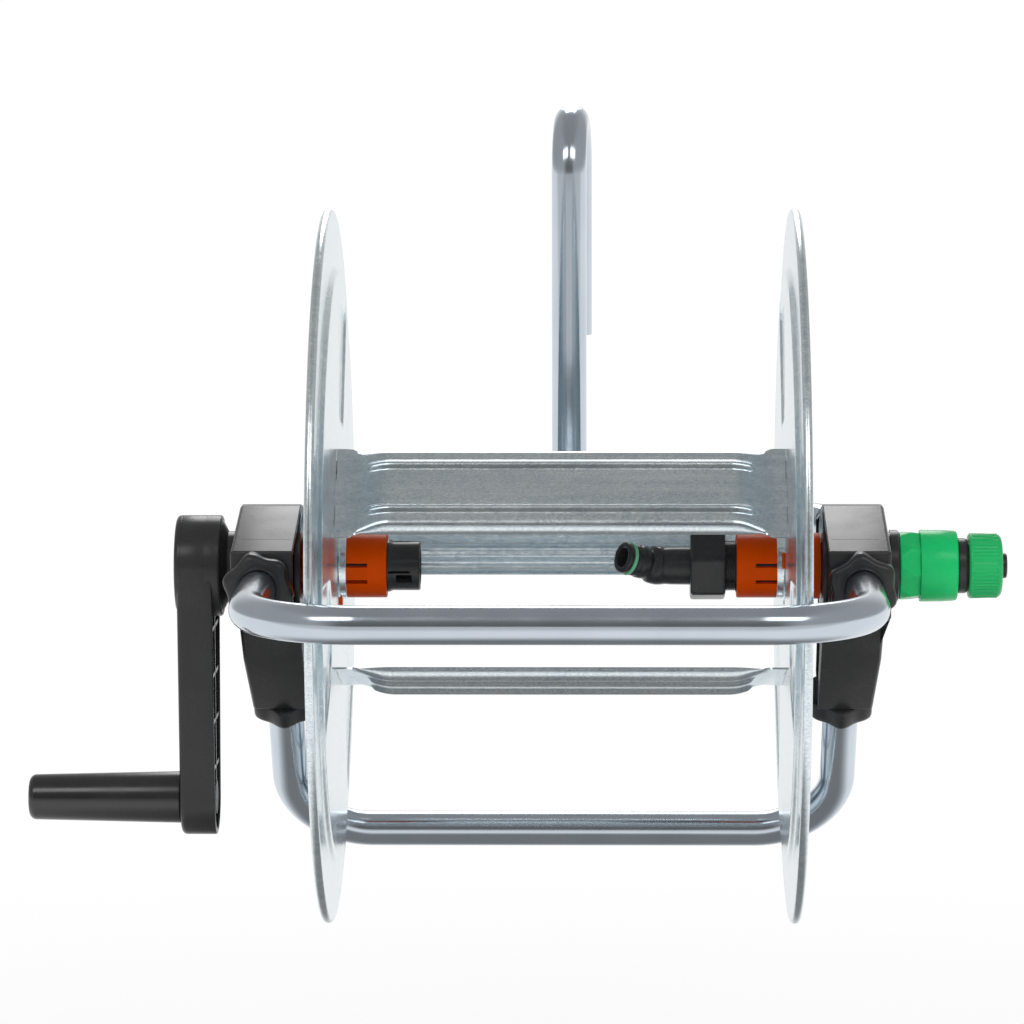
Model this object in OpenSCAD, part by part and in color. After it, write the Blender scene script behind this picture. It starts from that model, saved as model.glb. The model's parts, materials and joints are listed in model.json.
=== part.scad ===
// Wall mounted hose reel: a tube frame with two moulded hub blocks carries a pressed sheet drum.
// X runs along the axle, +Y points to the wall and +Z points up.
// The origin is at the top of the free leg of the hook, which drops into the wall bracket.

/* [Discs] */
// Outside diameter of the two discs
disc_d = 362; // [322:2:402]
// Thickness of the disc and stave sheet
sheet_t = 1; // [0.8:0.1:1.2]
// Diameter of the curled rim of a disc
bead_d = 4.6; // [4:0.2:6]
// How far the outer zone of a disc stands outboard of its hub zone
dish_h = 2.6; // [1.5:0.1:4]
// Inner diameter of the zone that stands outboard
dish_d = 300; // [290:2:304]
// Clear width between the hub zones of the two discs
drum_w = 225.6; // [180:0.2:260]
// Length of the drawn collar round each bush
collar_len = 4; // [3:0.5:6]
// Depth of the pressed panels in each disc
panel_h = 1.6; // [1:0.1:2.2]
// Inner radius of the pressed panels
panel_in = 74; // [72:1:82]
// Outer radius of the pressed panels
panel_out = 142; // [120:1:142]
// Width of a pressed panel at its outer end
panel_w = 84; // [50:1:88]

/* [Drum staves] */
// Radius from the axle to the flat ends of a stave
stave_r = 56.8; // [52:0.2:60]
// Width of a stave at its flat ends
stave_w = 57.6; // [50:0.2:60]
// Height of the pressed channel above the flat ends
stave_crown = 5; // [4:0.5:6]
// Width over the pressed channel
channel_w = 51; // [44:1:54]
// Corner radius of the pressed channel
channel_corner = 5; // [3:0.5:5]
// Depth of the side walls of the channel
channel_wall = 5.5; // [5.5:0.5:10]
// Length of the flat ends of a stave
stave_end = 9; // [6:0.5:14]
// Distance of the stiffening beads from the middle of a stave
bead_at = 14.2; // [10:0.2:16]
// Direction of the front upper stave, in degrees from the wall side
stave_turn = 132.6; // [120:0.2:145]

/* [Bushes and shafts] */
// Outside diameter of the orange bushes
bush_d = 32.4; // [31:0.2:34]
// Length of a bush inside the drum, past the disc collar
bush_in = 20.3; // [16:0.1:24]
// Outside diameter of a bush between the disc and the hub block
bush_out_d = 33.5; // [33:0.1:36]
// Journal diameter of both shafts in the hub blocks
journal_d = 28; // [27.6:0.1:28.4]
// Diameter of the crank shaft inside the drum
crank_shaft_d = 25; // [24:0.2:26]
// Diameter of the water shaft inside the drum
water_shaft_d = 26.6; // [26.2:0.1:26.8]
// Bore of the water passage
water_bore = 10; // [8:0.5:11]
// Length of the crank shaft past its bush
snap_len = 16.8; // [14:0.2:20]
// Running clearance of a shaft in its bore, on the radius
run_gap = 0.05; // [0.02:0.01:0.08]

/* [Tube frame] */
// Outside diameter of the three frame tubes
tube_d = 18.5; // [17:0.5:19.5]
// Wall thickness of all tubes
tube_wall = 1.5; // [1:0.1:2]
// Bend radius at the middle of the front and rear tubes
bend_r = 55; // [40:1:57]
// Bend radius at the middle of the lower tube
low_bend_r = 43; // [34:1:44]
// Gap between the front cross tube and the discs
front_gap = 9.8; // [8:0.1:20]
// Gap between the rear cross tube and the discs
rear_gap = 9.8; // [8:0.1:20]
// Gap between the lower cross tube and the discs
lower_gap = 5.6; // [5.2:0.1:15]
// Backward tilt of the lower tube from the vertical
lower_tilt = 36; // [32:1:40]
// Distance of the front and rear tube legs from the middle of the reel
leg_x = 148.6; // [147.5:0.1:150]
// Distance of the lower tube legs from the middle of the reel
low_leg_x = 145; // [144.8:0.1:150]

/* [Wall hook] */
// Outside diameter of the hook tube
hook_d = 19; // [18:0.5:20]
// Distance between the two legs of the hook
hook_pitch = 54; // [46:1:64]
// Height of the start of the hook bend above the axle
hook_top = 187.5; // [150:0.5:230]
// Length of the straight free leg
pin_len = 92.5; // [60:0.5:110]
// Sideways place of the upright on the rear tube
hook_x = 2.5; // [-10:0.5:10]
// Turn of the hook about its upright
hook_turn = 3; // [-6:1:6]
// Width of the weld round the foot of the upright
weld_w = 3; // [2:0.5:4]

/* [Hub blocks] */
// Gap between the rim of a disc and the hub block
side_gap = 11.5; // [10.5:0.1:14]
// Width of a hub block with its bearing flange
block_w = 31.5; // [31:0.1:34]
// Height of the bearing flange above the block edge
flange_h = 0.6; // [0.4:0.2:2]
// Radius of the bearing flange
flange_r = 30; // [24:0.5:31]
// Height of the ridge above the axle
ridge_h = 31; // [29:0.5:34]
// Length of the front and rear arms
arm_len = 72; // [64:1:80]
// Half height of the front and rear arms at their ends
arm_end_h = 17; // [16:0.5:20]
// Length of the lower arm
low_arm_len = 90; // [80:1:100]
// Half width of the lower arm at its end
low_end_h = 14.5; // [14:0.5:17]
// How far the outer face of the lower arm runs in at its end
low_taper = 2.4; // [0:0.2:3]
// Wall thickness of the moulding
block_wall = 3; // [2.4:0.2:3.4]
// Thickness of the ribs inside
rib_t = 2; // [1.6:0.2:3]

/* [Clamp nuts] */
// Diameter over the lobes
nut_d = 35.5; // [34:0.5:36]
// Length of a nut
nut_len = 13; // [12:0.5:16]
// Number of lobes
nut_lobes = 6; // [5:1:8]
// Depth of the hollows between the lobes
lobe_depth = 2.4; // [1.5:0.1:2.6]

/* [Crank] */
// Distance from the axle to the grip
crank_len = 119.6; // [90:0.2:130]
// Radius of the crank hub
crank_hub_r = 25.7; // [24:0.1:28]
// Radius of the crank end
crank_end_r = 19; // [17:0.5:20]
// Thickness of the crank arm at the hub
crank_t = 22; // [18:0.5:26]
// How much thinner the arm is below the hub, on its open side
arm_recess = 4; // [2:0.5:6]
// How far the hub face stands out from the arm
hub_rise = 1.3; // [0.5:0.1:2]
// Length of the boss between the crank arm and the block
boss_len = 9; // [8:0.5:12]
// Diameter of that boss
boss_d = 35; // [32:0.5:37]
// Length of the grip
grip_len = 78.4; // [65:0.2:90]
// Diameter of the grip at the crank arm
grip_d = 26.5; // [25:0.5:29]
// Diameter of the grip at its free end
grip_end_d = 23; // [22:0.5:26]
// Diameter of the grip pin
pin_d = 10; // [9:0.5:12]

/* [Hose outlet] */
// Width across the flats of the union nut
union_af = 29.6; // [29.2:0.2:31]
// Length of the union nut
union_len = 17.8; // [16:0.2:20]
// Length of bare thread between the union nut and the bush
thread_gap = 5.6; // [3:0.2:8]
// Diameter of the elbow body
elbow_d = 19.4; // [19:0.2:20]
// Straight length of the elbow past the union nut
elbow_run = 17; // [14:0.2:20]
// Length of the spigot past the bend
spigot_len = 21; // [18:0.5:26]
// Diameter of the quick connect spigots
spigot_d = 16; // [15.6:0.1:16.4]
// Bend of the elbow
elbow_bend = 33.7; // [25:0.1:38]
// Turn of the elbow about the axle, up from the front
elbow_turn = 29.6; // [0:0.1:60]

/* [Supply connector] */
// Diameter of the stepped collar outside the right block
collar_d = 36.4; // [34:0.2:37]
// Length of the collar
collar_out = 7.2; // [6:0.2:9]
// Diameter of the release sleeve
sleeve_d = 36.4; // [35:0.2:38]
// Length of the release sleeve
sleeve_len = 29.4; // [28:0.2:32]
// Travel of the release sleeve
sleeve_travel = 4; // [3:0.5:4.5]
// Diameter of the connector body
body_d = 24.4; // [24:0.2:25]
// Diameter of the ring behind the sleeve
ring_d = 28; // [27:0.2:28.4]
// Length of bare ring between the sleeve and the hose nut
ring_len = 5.5; // [5.2:0.1:7]
// Diameter of the hose nut
hose_nut_d = 33; // [31:0.5:35]
// Length of the hose nut
hose_nut_len = 16.9; // [15:0.1:20]
// Number of grip ribs on the hose nut
nut_ribs = 20; // [12:1:28]
// Diameter of the hose tail
tail_d = 12.7; // [12:0.1:14]
// Length of tail past the hose nut
tail_out = 2.8; // [1:0.2:6]

/* [Hidden] */
$fn = 72;

eps = 0.02;
seat_gap = 0.3;
disc_r = disc_d / 2;
hub_face = drum_w / 2;
rim_face = hub_face + dish_h;
disc_out = rim_face + bead_d;
block_in = disc_out + side_gap;
block_open = block_in + flange_h;
block_out = block_in + block_w;

front_reach = disc_r + front_gap + tube_d / 2;
rear_reach = disc_r + rear_gap + tube_d / 2;
lower_reach = disc_r + lower_gap + tube_d / 2;
tube_stop = 30;

hook_r = hook_pitch / 2;
pin_x = hook_x + hook_pitch * sin(hook_turn);
pin_y = rear_reach + hook_pitch * cos(hook_turn);

collar_wall = sheet_t;
collar_in_r = bush_d / 2 - 0.4;
collar_end = hub_face - collar_len;
bush_tip = collar_end - bush_in;
key_w = 3;
key_h = 0.6;

// Places everything from the axle to the wall pin
module from_pin() translate([-pin_x, -pin_y, -hook_top]) children();
// Revolves points given as radius and place along the axle
module lathe(points) rotate([0, 90, 0]) rotate_extrude(convexity = 6) polygon(points);
// A round bar along the axle between two places
module bar(r, x0, x1) translate([x0, 0, 0]) rotate([0, 90, 0]) cylinder(h = x1 - x0, r = r);
// A plate across the axle, from an outline given as Y and Z
module across(x0, x1) translate([x0, 0, 0]) rotate([90, 0, 90]) linear_extrude(x1 - x0) children();
// Turns a piece about the axle, so that its +Y side points at an angle from the wall side
module turned(a) rotate([a, 0, 0]) children();

// A point at a distance along the lower leg and another across it
function low_point(s, w) =
  [s * sin(lower_tilt) + w * cos(lower_tilt), -s * cos(lower_tilt) + w * sin(lower_tilt)];
// Points on an arc
function arc(c, r, a0, a1, n) =
  [for (i = [0:n]) c + r * [cos(a0 + (a1 - a0) * i / n), sin(a0 + (a1 - a0) * i / n)]];
function unit(v) = v / norm(v);
function left_of(v) = [-v[1], v[0]];
// Where two lines cross, each through a point along a direction
function crossing(p, u, q, v) = p + u * ((q - p) * left_of(v)) / (u * left_of(v));
// An outline moved inward by a wall, with its points in counterclockwise order
function inset(pts, wall) = [for (i = [0:len(pts) - 1])
  let (a = pts[(i + len(pts) - 1) % len(pts)], b = pts[i], c = pts[(i + 1) % len(pts)],
       u = unit(b - a), v = unit(c - b))
  crossing(b + wall * left_of(u), u, b + wall * left_of(v), v)];

// FRAME TUBES

// A U of round bar whose legs start beside the axle and whose cross bar is at the reach
module u_bar(reach, start, r, leg, bend) {
  run = reach - bend;
  for (side = [-1, 1]) {
    translate([side * leg, start, 0]) rotate([-90, 0, 0]) cylinder(h = run - start, r = r);
    translate([side * (leg - bend), run, 0]) rotate([0, 0, side > 0 ? 0 : 90])
      rotate_extrude(angle = 90) translate([bend, 0]) circle(r = r);
  }
  translate([bend - leg, reach, 0]) rotate([0, 90, 0]) cylinder(h = 2 * (leg - bend), r = r);
}

module u_tube(reach, leg = leg_x, bend = bend_r) {
  difference() {
    u_bar(reach, tube_stop, tube_d / 2, leg, bend);
    u_bar(reach, tube_stop - 1, tube_d / 2 - tube_wall, leg, bend);
  }
}

module front_tube() color("silver") from_pin() rotate([0, 0, 180]) u_tube(front_reach);
module rear_tube() color("silver") from_pin() u_tube(rear_reach);
module lower_tube() color("silver") from_pin() rotate([lower_tilt - 90, 0, 0]) u_tube(lower_reach, low_leg_x, low_bend_r);

// WALL HOOK

module on_hook() translate([hook_x, rear_reach, 0]) rotate([0, 0, 90 - hook_turn]) children();

module hook_bar(r, foot, tip) {
  translate([0, 0, foot]) cylinder(h = hook_top - foot, r = r);
  translate([hook_r, 0, hook_top]) rotate([90, 0, 0])
    rotate_extrude(angle = 180) translate([hook_r, 0]) circle(r = r);
  translate([hook_pitch, 0, tip]) cylinder(h = hook_top - tip, r = r);
}

module rear_cross(r) translate([-leg_x / 2, rear_reach, 0]) rotate([0, 90, 0]) cylinder(h = leg_x, r = r);

module hook_tube() color("silver") from_pin() difference() {
  on_hook() hook_bar(hook_d / 2, 0, hook_top - pin_len);
  on_hook() hook_bar(hook_d / 2 - tube_wall, -1, hook_top - pin_len - 1);
  rear_cross(tube_d / 2 + eps);
}

module hook_weld() color("gray") from_pin() difference() {
  translate([hook_x, rear_reach, 0]) rotate_extrude()
    polygon([[0, 0], [hook_d / 2 + weld_w, 0], [hook_d / 2 + weld_w, tube_d / 4],
      [hook_d / 2 + weld_w / 2, tube_d / 2 + weld_w / 3], [hook_d / 2, tube_d / 2 + weld_w], [0, tube_d / 2 + weld_w]]);
  translate([hook_x, rear_reach, -1]) cylinder(h = tube_d + 2 * weld_w, r = hook_d / 2 + eps);
  rear_cross(tube_d / 2 + eps);
}

// HUB BLOCKS

arm_root_s = 45;
arm_root_w = 21;
belly_s = 12;
ridge_flat = 4;
socket_r = tube_d / 2 + block_wall;
socket_bore = tube_d / 2 + run_gap;
thread_r = socket_r + 0.5;
thread_len = 7;
bearing_r = journal_d / 2 + block_wall + 1.5;
rib_angles = [20, 52, 90, 128, 160, 200, 228, 252, 340];

block_outline = [
  [-arm_len, -arm_end_h],
  low_point(belly_s, -ridge_h + 0.5),
  low_point(low_arm_len, -low_end_h),
  low_point(low_arm_len, low_end_h),
  low_point(arm_root_s, arm_root_w),
  [arm_len, -arm_end_h],
  [arm_len, arm_end_h],
  [ridge_flat, ridge_h],
  [-ridge_flat, ridge_h],
  [-arm_len, arm_end_h]
];
// The three tube legs: turn about the axle, length of the arm, place beside the middle
arms = [[180, arm_len, leg_x], [0, arm_len, leg_x], [lower_tilt - 90, low_arm_len, low_leg_x]];

module along_arm(arm) translate([arm[2], 0, 0]) turned(arm[0]) rotate([-90, 0, 0]) children();

// The wedge that the outer face of the lower arm loses toward its end
module taper_cut(shift) turned(lower_tilt - 90) translate([-shift, 0, -2 * ridge_h])
  linear_extrude(4 * ridge_h) polygon([[block_out + eps, arm_root_s], [block_out + 10, arm_root_s],
    [block_out + 10, low_arm_len + 10], [block_out - low_taper * 1.2, low_arm_len + 10]]);

module block() difference() {
  union() {
    difference() {
      across(block_open, block_out) polygon(block_outline);
      difference() {
        across(block_open - 1, block_out - block_wall) polygon(inset(block_outline, block_wall));
        taper_cut(block_wall);
      }
    }
    intersection() {
      across(block_open, block_out) polygon(block_outline);
      for (arm = arms) along_arm(arm) translate([0, 0, tube_stop - block_wall])
        cylinder(h = arm[1] - tube_stop + block_wall, r = socket_r);
    }
    intersection() {
      across(block_open + rib_t, block_out) polygon(block_outline);
      for (a = rib_angles) turned(a)
        translate([block_open, bearing_r - 1, -rib_t / 2]) cube([block_w, low_arm_len, rib_t]);
    }
    for (arm = arms) along_arm(arm) translate([0, 0, arm[1] - 1]) cylinder(h = thread_len + 1, r = thread_r);
    bar(bearing_r, block_in, block_out);
    lathe([[0, block_in], [flange_r - flange_h / 2, block_in], [flange_r, block_in + flange_h / 2],
      [flange_r, block_open + rib_t], [0, block_open + rib_t]]);
  }
  bar(journal_d / 2 + run_gap, block_in - 1, block_out + 1);
  for (arm = arms) along_arm(arm) translate([0, 0, tube_stop])
    cylinder(h = arm[1], r = socket_bore);
  taper_cut(0);
}

module right_block() color("dimgray") from_pin() block();
module left_block() color("dimgray") from_pin() mirror([1, 0, 0]) block();

// CLAMP NUTS

nut_lip = 3;
nut_bore = thread_r + 0.1;
scallop_r = 9;

module clamp_nut() difference() {
  rotate_extrude() polygon([[0, 0], [nut_d / 2 - 1, 0], [nut_d / 2, 1], [nut_d / 2, nut_len - 1],
    [nut_d / 2 - 1, nut_len], [0, nut_len]]);
  for (i = [0:nut_lobes - 1]) rotate(360 * i / nut_lobes) translate([nut_d / 2 - lobe_depth + scallop_r, 0, -1])
    cylinder(h = nut_len + 2, r = scallop_r);
  translate([0, 0, -1]) cylinder(h = nut_len - nut_lip + 1, r = nut_bore);
  cylinder(h = nut_len + 1, r = tube_d / 2 + 0.4);
}

// The two nuts of a tube, each with its own turn, the right one first
module nut_pair(arm, turns) color("dimgray") from_pin() for (side = [0, 1]) mirror([side, 0, 0])
  along_arm(arm) translate([0, 0, arm[1] + eps]) rotate(turns[side]) clamp_nut();

module front_clamp_nuts() nut_pair(arms[0], [5, -15]);
module rear_clamp_nuts() nut_pair(arms[1], [0, 10]);
module lower_clamp_nuts() nut_pair(arms[2], [0, 0]);

module clamp_rings() color("gray") from_pin() for (arm = arms, side = [0, 1]) mirror([side, 0, 0])
  along_arm(arm) translate([0, 0, arm[1] + thread_len + eps]) difference() {
    cylinder(h = nut_len - nut_lip - thread_len - eps, r1 = nut_bore - 0.4, r2 = nut_bore - 1);
    translate([0, 0, -1]) cylinder(h = nut_len, r = tube_d / 2 + eps);
    translate([0, -1, -1]) cube([nut_d, 2, nut_len]);
  }

// DISCS

bead_r = bead_d / 2;
bead_sink = 0.1;
step_run = 2;
panel_corner = 8;

// A pressed panel with rounded corners, narrow at the hub end, given as Y and Z
function panel_outline(grow) = let (
  c = panel_corner + grow, i = panel_in + panel_corner, o = panel_out - panel_corner,
  wi = panel_w * panel_in / panel_out / 2 - panel_corner, wo = panel_w / 2 - panel_corner)
  concat(arc([i, -wi], c, 180, 285, 4), arc([o, -wo], c, 285, 360, 4),
    arc([o, wo], c, 0, 75, 4), arc([i, wi], c, 75, 180, 4));

module panels(x0, x1, grow) for (k = [0:2]) turned(stave_turn - 60 + 120 * k)
  across(x0, x1) polygon(panel_outline(grow));

module disc() {
  mid_r = disc_r - bead_r;
  step_r = dish_d / 2;
  difference() {
    union() {
      lathe([
        [collar_in_r, collar_end], [collar_in_r + sheet_t, collar_end],
        [collar_in_r + sheet_t, hub_face - 1], [collar_in_r + sheet_t + 1, hub_face],
        [step_r, hub_face], [step_r + step_run, rim_face],
        [mid_r, rim_face], [mid_r, rim_face + sheet_t],
        [step_r + step_run - 0.4, rim_face + sheet_t], [step_r - 0.4, hub_face + sheet_t],
        [collar_in_r + 2, hub_face + sheet_t], [collar_in_r, hub_face - 1]
      ]);
      panels(hub_face + sheet_t / 2, hub_face + panel_h + sheet_t, sheet_t);
    }
    panels(hub_face - 1, hub_face + panel_h, 0);
    tab_slots();
  }
  rotate([0, 90, 0]) rotate_extrude() translate([mid_r, rim_face + bead_r - bead_sink]) circle(r = bead_r, $fn = 24);
}

// STAVES

tab_w = 12;
tab_at = 15;
tab_fold = 6;
tab_clear = 0.15;
stave_gap = 0.1;
stave_half = hub_face - stave_gap;
shoulder_run = 8;
shoulder_w = channel_w - 2 * channel_corner;
bead_out = 3.2;
bead_in = 2.2;
bead_drop = 1.2;

module each_tab() for (k = [0:2], s = [-1, 1]) turned(stave_turn + 120 * k)
  translate([0, stave_r, s * tab_at]) children();
module tab_slots() each_tab() translate([hub_face - 1, -sheet_t / 2 - tab_clear, -tab_w / 2 - tab_clear])
  cube([panel_h + sheet_t + 2, sheet_t + 2 * tab_clear, tab_w + 2 * tab_clear]);

// Half of the channel outline, as height above the axle and place across, outside of the sheet
function channel_half(t) = let (
  top = stave_r + sheet_t / 2 + stave_crown - t, edge = channel_w / 2 - t, c = max(channel_corner - t, 1))
  concat([[stave_r + stave_crown - channel_wall, edge]], arc([top - c, edge - c], c, 90, 0, 6));
function mirrored(pts) = [for (i = [len(pts) - 1:-1:0]) [pts[i][0], -pts[i][1]]];
// The bent section of the channel: the outer outline one way and the inner one back
module channel_section() {
  outer = concat(channel_half(0), mirrored(channel_half(0)));
  inner = concat(channel_half(sheet_t), mirrored(channel_half(sheet_t)));
  polygon(concat(outer, [for (i = [len(inner) - 1:-1:0]) inner[i]]));
}

module bead_bar(r) {
  reach = stave_half - stave_end - shoulder_run;
  for (s = [-1, 1]) translate([0, stave_r + stave_crown - bead_drop, s * bead_at]) {
    bar(r, -reach, reach);
    for (e = [-1, 1]) translate([e * reach, 0, 0]) sphere(r = r);
  }
}

// The sloped shoulder between the flat end and the channel, on one side
module shoulder() {
  x0 = stave_half - stave_end - shoulder_run;
  low = stave_r - sheet_t / 2;
  rise = stave_crown;
  translate([0, 0, -shoulder_w / 2]) linear_extrude(shoulder_w)
    polygon([[x0 - 0.6, low + rise], [x0 - 0.6, low + rise + sheet_t], [x0, low + rise + sheet_t],
      [x0 + shoulder_run, low + sheet_t], [x0 + shoulder_run + 0.5, low + sheet_t],
      [x0 + shoulder_run + 0.5, low], [x0 + shoulder_run, low], [x0, low + rise]]);
}

module stave(k) turned(stave_turn + 120 * k) {
  run = stave_half - stave_end - shoulder_run;
  difference() {
    union() {
      across(-run, run) channel_section();
      intersection() {
        bead_bar(bead_out);
        translate([-stave_half, stave_r + stave_crown, -channel_w / 2]) cube([2 * stave_half, 2 * bead_out, channel_w]);
      }
    }
    bead_bar(bead_in);
  }
  for (e = [0, 1]) mirror([e, 0, 0]) {
    translate([stave_half - stave_end, stave_r - sheet_t / 2, -stave_w / 2]) cube([stave_end, sheet_t, stave_w]);
    shoulder();
    for (s = [-1, 1]) translate([stave_half - 1, stave_r, s * tab_at]) {
      translate([0, -sheet_t / 2, -tab_w / 2]) cube([sheet_t + 1 + 2 * stave_gap + sheet_t, sheet_t, tab_w]);
      translate([sheet_t + 1 + 2 * stave_gap, -sheet_t / 2, -tab_w / 2]) cube([sheet_t, tab_fold, tab_w]);
    }
  }
}

module right_disc() color("lightsteelblue") from_pin() disc();
module left_disc() color("lightsteelblue") from_pin() mirror([1, 0, 0]) disc();
module upper_stave() color("lightslategray") from_pin() stave(0);
module lower_stave() color("lightslategray") from_pin() stave(1);
module rear_stave() color("lightslategray") from_pin() stave(2);

// BUSHES

bush_r = bush_d / 2;
neck_r = collar_in_r - eps;
bush_end = block_in - 0.8;
bush_flange = bush_out_d / 2 + 2;
finger_slot = 10.7;
slot_w = 2;
slot_pitch = 8.6;

module bush(shaft_r) {
  bore = shaft_r + run_gap;
  difference() {
    lathe([
      [bore, bush_tip], [bush_r - 0.5, bush_tip], [bush_r, bush_tip + 0.5],
      [bush_r, collar_end - eps], [neck_r, collar_end - eps],
      [neck_r, hub_face - 1], [neck_r + 1.6, hub_face + sheet_t + seat_gap / 2],
      [bush_flange, hub_face + sheet_t + seat_gap / 2], [bush_flange, hub_face + sheet_t + 2],
      [bush_out_d / 2, hub_face + sheet_t + 2], [bush_out_d / 2, bush_end], [bore, bush_end]
    ]);
    for (k = [0:2]) turned(stave_turn + 55 + 120 * k) for (s = [-1, 1])
      translate([collar_end - finger_slot, bore - 1, s * slot_pitch / 2 - slot_w / 2])
        cube([finger_slot, bush_r - bore + 2, slot_w]);
    keys(bush_tip - 1, bush_end + 1, shaft_r + key_h + run_gap, key_w + 0.2);
  }
}

// Two long keys that lock a shaft to its bush
module keys(x0, x1, r, w) for (a = [90, 270]) turned(a)
  translate([x0, 0, -w / 2]) cube([x1 - x0, r, w]);

module left_bush() color("darkorange") from_pin() mirror([1, 0, 0]) bush(crank_shaft_d / 2);
module right_bush() color("darkorange") from_pin() bush(water_shaft_d / 2);

// CRANK SIDE

shaft_step = block_in - 0.3;
crank_in = block_out + boss_len;
crank_face = crank_in + crank_t;
drive_af = 18;
drive_len = 12;
screw_r = 3;
screw_head_r = 7;
screw_head_h = 3.4;
screw_len = 22;

module crank_shaft() color("dimgray") from_pin() mirror([1, 0, 0]) {
  tip = bush_tip - snap_len;
  r = crank_shaft_d / 2;
  seat = block_out + seat_gap;
  difference() {
    union() {
      lathe([
        [0, tip], [r - 0.6, tip], [r, tip + 0.6], [r, bush_tip - 3], [r + 0.8, bush_tip - 1.2],
        [r + 0.8, bush_tip - 0.2], [r, bush_tip - 0.2], [r, shaft_step],
        [journal_d / 2, shaft_step], [journal_d / 2, seat + boss_len / 2], [0, seat + boss_len / 2]
      ]);
      keys(bush_tip + 0.5, shaft_step, r + key_h, key_w);
      translate([seat, -drive_af / 2, -drive_af / 2]) cube([boss_len + drive_len, drive_af, drive_af]);
    }
    bar(r - 3, tip - 1, block_in + 8);
    bar(screw_r - 0.4, block_in, crank_face);
    for (a = [8, 98, 188, 278]) turned(a) translate([tip + 5, 0, -0.6]) cube([11, r + 2, 1.2]);
    turned(205) translate([tip + 4, 0, -2.2]) cube([8, r + 2, 4.4]);
  }
}

// An outline round two circles on a line down from the axle
function tangent_arm(r0, r1, len) = let (b = asin((r0 - r1) / len)) concat(
  arc([0, 0], r0, b, 180 - b, 18), arc([0, -len], r1, 180 - b, 360 + b, 14));

// The round hub, with the same points as the top of the arm's outline
function hub_outline(r0, r1, len) = let (b = asin((r0 - r1) / len)) concat(
  arc([0, 0], r0, b, 180 - b, 18), [for (i = [1:17]) r0 * [cos(180 - b + (180 + 2 * b) * i / 18),
    sin(180 - b + (180 + 2 * b) * i / 18)]]);

crank_wall = 3;
pin_boss_r = pin_d / 2 + 4;
arm_in = crank_in + arm_recess;
hub_face_x = crank_face + hub_rise;
hub_drop = 21;

module crank_arm() color("dimgray") from_pin() mirror([1, 0, 0]) {
  outline = tangent_arm(crank_hub_r, crank_end_r, crank_len);
  hub = hub_outline(crank_hub_r, crank_end_r, crank_len);
  hollow = tangent_arm(crank_hub_r - crank_wall, crank_end_r - crank_wall, crank_len);
  seat = block_out + seat_gap;
  difference() {
    union() {
      difference() {
        union() {
          across(arm_in, crank_face) polygon(outline);
          across(crank_in, arm_in + 1) polygon(hub);
        }
        across(crank_in - 1, crank_face - crank_wall) polygon(hollow);
      }
      intersection() {
        across(crank_face - 1, hub_face_x) polygon(hub);
        translate([crank_in, -2 * crank_hub_r, -hub_drop]) cube([2 * crank_t, 4 * crank_hub_r, 4 * crank_hub_r]);
      }
      lathe([[0, seat], [boss_d / 2, seat], [boss_d / 2, crank_in - 3], [crank_hub_r - 2.4, crank_in],
        [crank_hub_r - 2.4, crank_in + 3], [boss_d / 2, crank_in + 6], [boss_d / 2, crank_face - 1], [0, crank_face - 1]]);
      translate([0, 0, -crank_len]) bar(pin_boss_r, arm_in + 2, crank_face - 1);
      intersection() {
        across(arm_in + 0.6, crank_face - 1) polygon(outline);
        translate([crank_in, -rib_t / 2, -crank_len]) cube([crank_t, rib_t, crank_len]);
      }
      for (k = [1:4]) intersection() {
        across(arm_in + 0.6, crank_face - 1) polygon(outline);
        translate([crank_in, -crank_hub_r, -k * crank_len / 5 - 8]) cube([crank_t, 2 * crank_hub_r, rib_t]);
      }
    }
    translate([seat - 1, -drive_af / 2 - run_gap, -drive_af / 2 - run_gap])
      cube([boss_len + drive_len + 1 + seat_gap, drive_af + 2 * run_gap, drive_af + 2 * run_gap]);
    bar(journal_d / 2 + run_gap, seat - 1, seat + boss_len / 2 + run_gap);
    bar(screw_r + 0.2, seat, hub_face_x + 1);
    bar(screw_head_r + 0.4, crank_face - screw_head_h - 0.6, hub_face_x + 1);
    translate([0, 0, -crank_len]) bar(pin_d / 2 + run_gap, crank_in - 1, crank_face + 1);
    translate([0, 0, -crank_len]) bar(pin_boss_r, crank_in - 1, arm_in + 2);
  }
}

module crank_screw() color("silver") from_pin() mirror([1, 0, 0]) difference() {
  union() {
    bar(screw_r - 0.42, crank_face - screw_head_h - 0.6 - screw_len, crank_face - screw_head_h);
    lathe([[0, crank_face - screw_head_h - 0.6], [screw_head_r, crank_face - screw_head_h - 0.6],
      [screw_head_r, crank_face - 2], [screw_head_r - 2, crank_face - 0.6], [0, crank_face - 0.4]]);
  }
  for (a = [0, 90]) turned(a) translate([crank_face - 2.4, -0.6, -3]) cube([3, 1.2, 6]);
}

// GRIP

grip_start = crank_face + seat_gap;
grip_end = crank_face + grip_len;
pin_reach = grip_len - 12;
grip_round = 3.5;
pin_head_r = pin_d / 2 + 1.2;

module at_grip() translate([0, 0, -crank_len]) children();

module grip_pin() color("gray") from_pin() mirror([1, 0, 0]) at_grip() difference() {
  lathe([
    [0, arm_in + 0.5], [pin_boss_r - 0.5, arm_in + 0.5], [pin_boss_r - 0.5, arm_in + 2 - eps],
    [pin_d / 2, arm_in + 2 - eps], [pin_d / 2, crank_face + pin_reach - 5],
    [pin_head_r, crank_face + pin_reach - 4.6], [pin_head_r, crank_face + pin_reach - 3],
    [pin_d / 2 - 0.6, crank_face + pin_reach], [0, crank_face + pin_reach]
  ]);
  translate([crank_face + pin_reach - 14, -0.8, -pin_d]) cube([20, 1.6, 2 * pin_d]);
}

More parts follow.
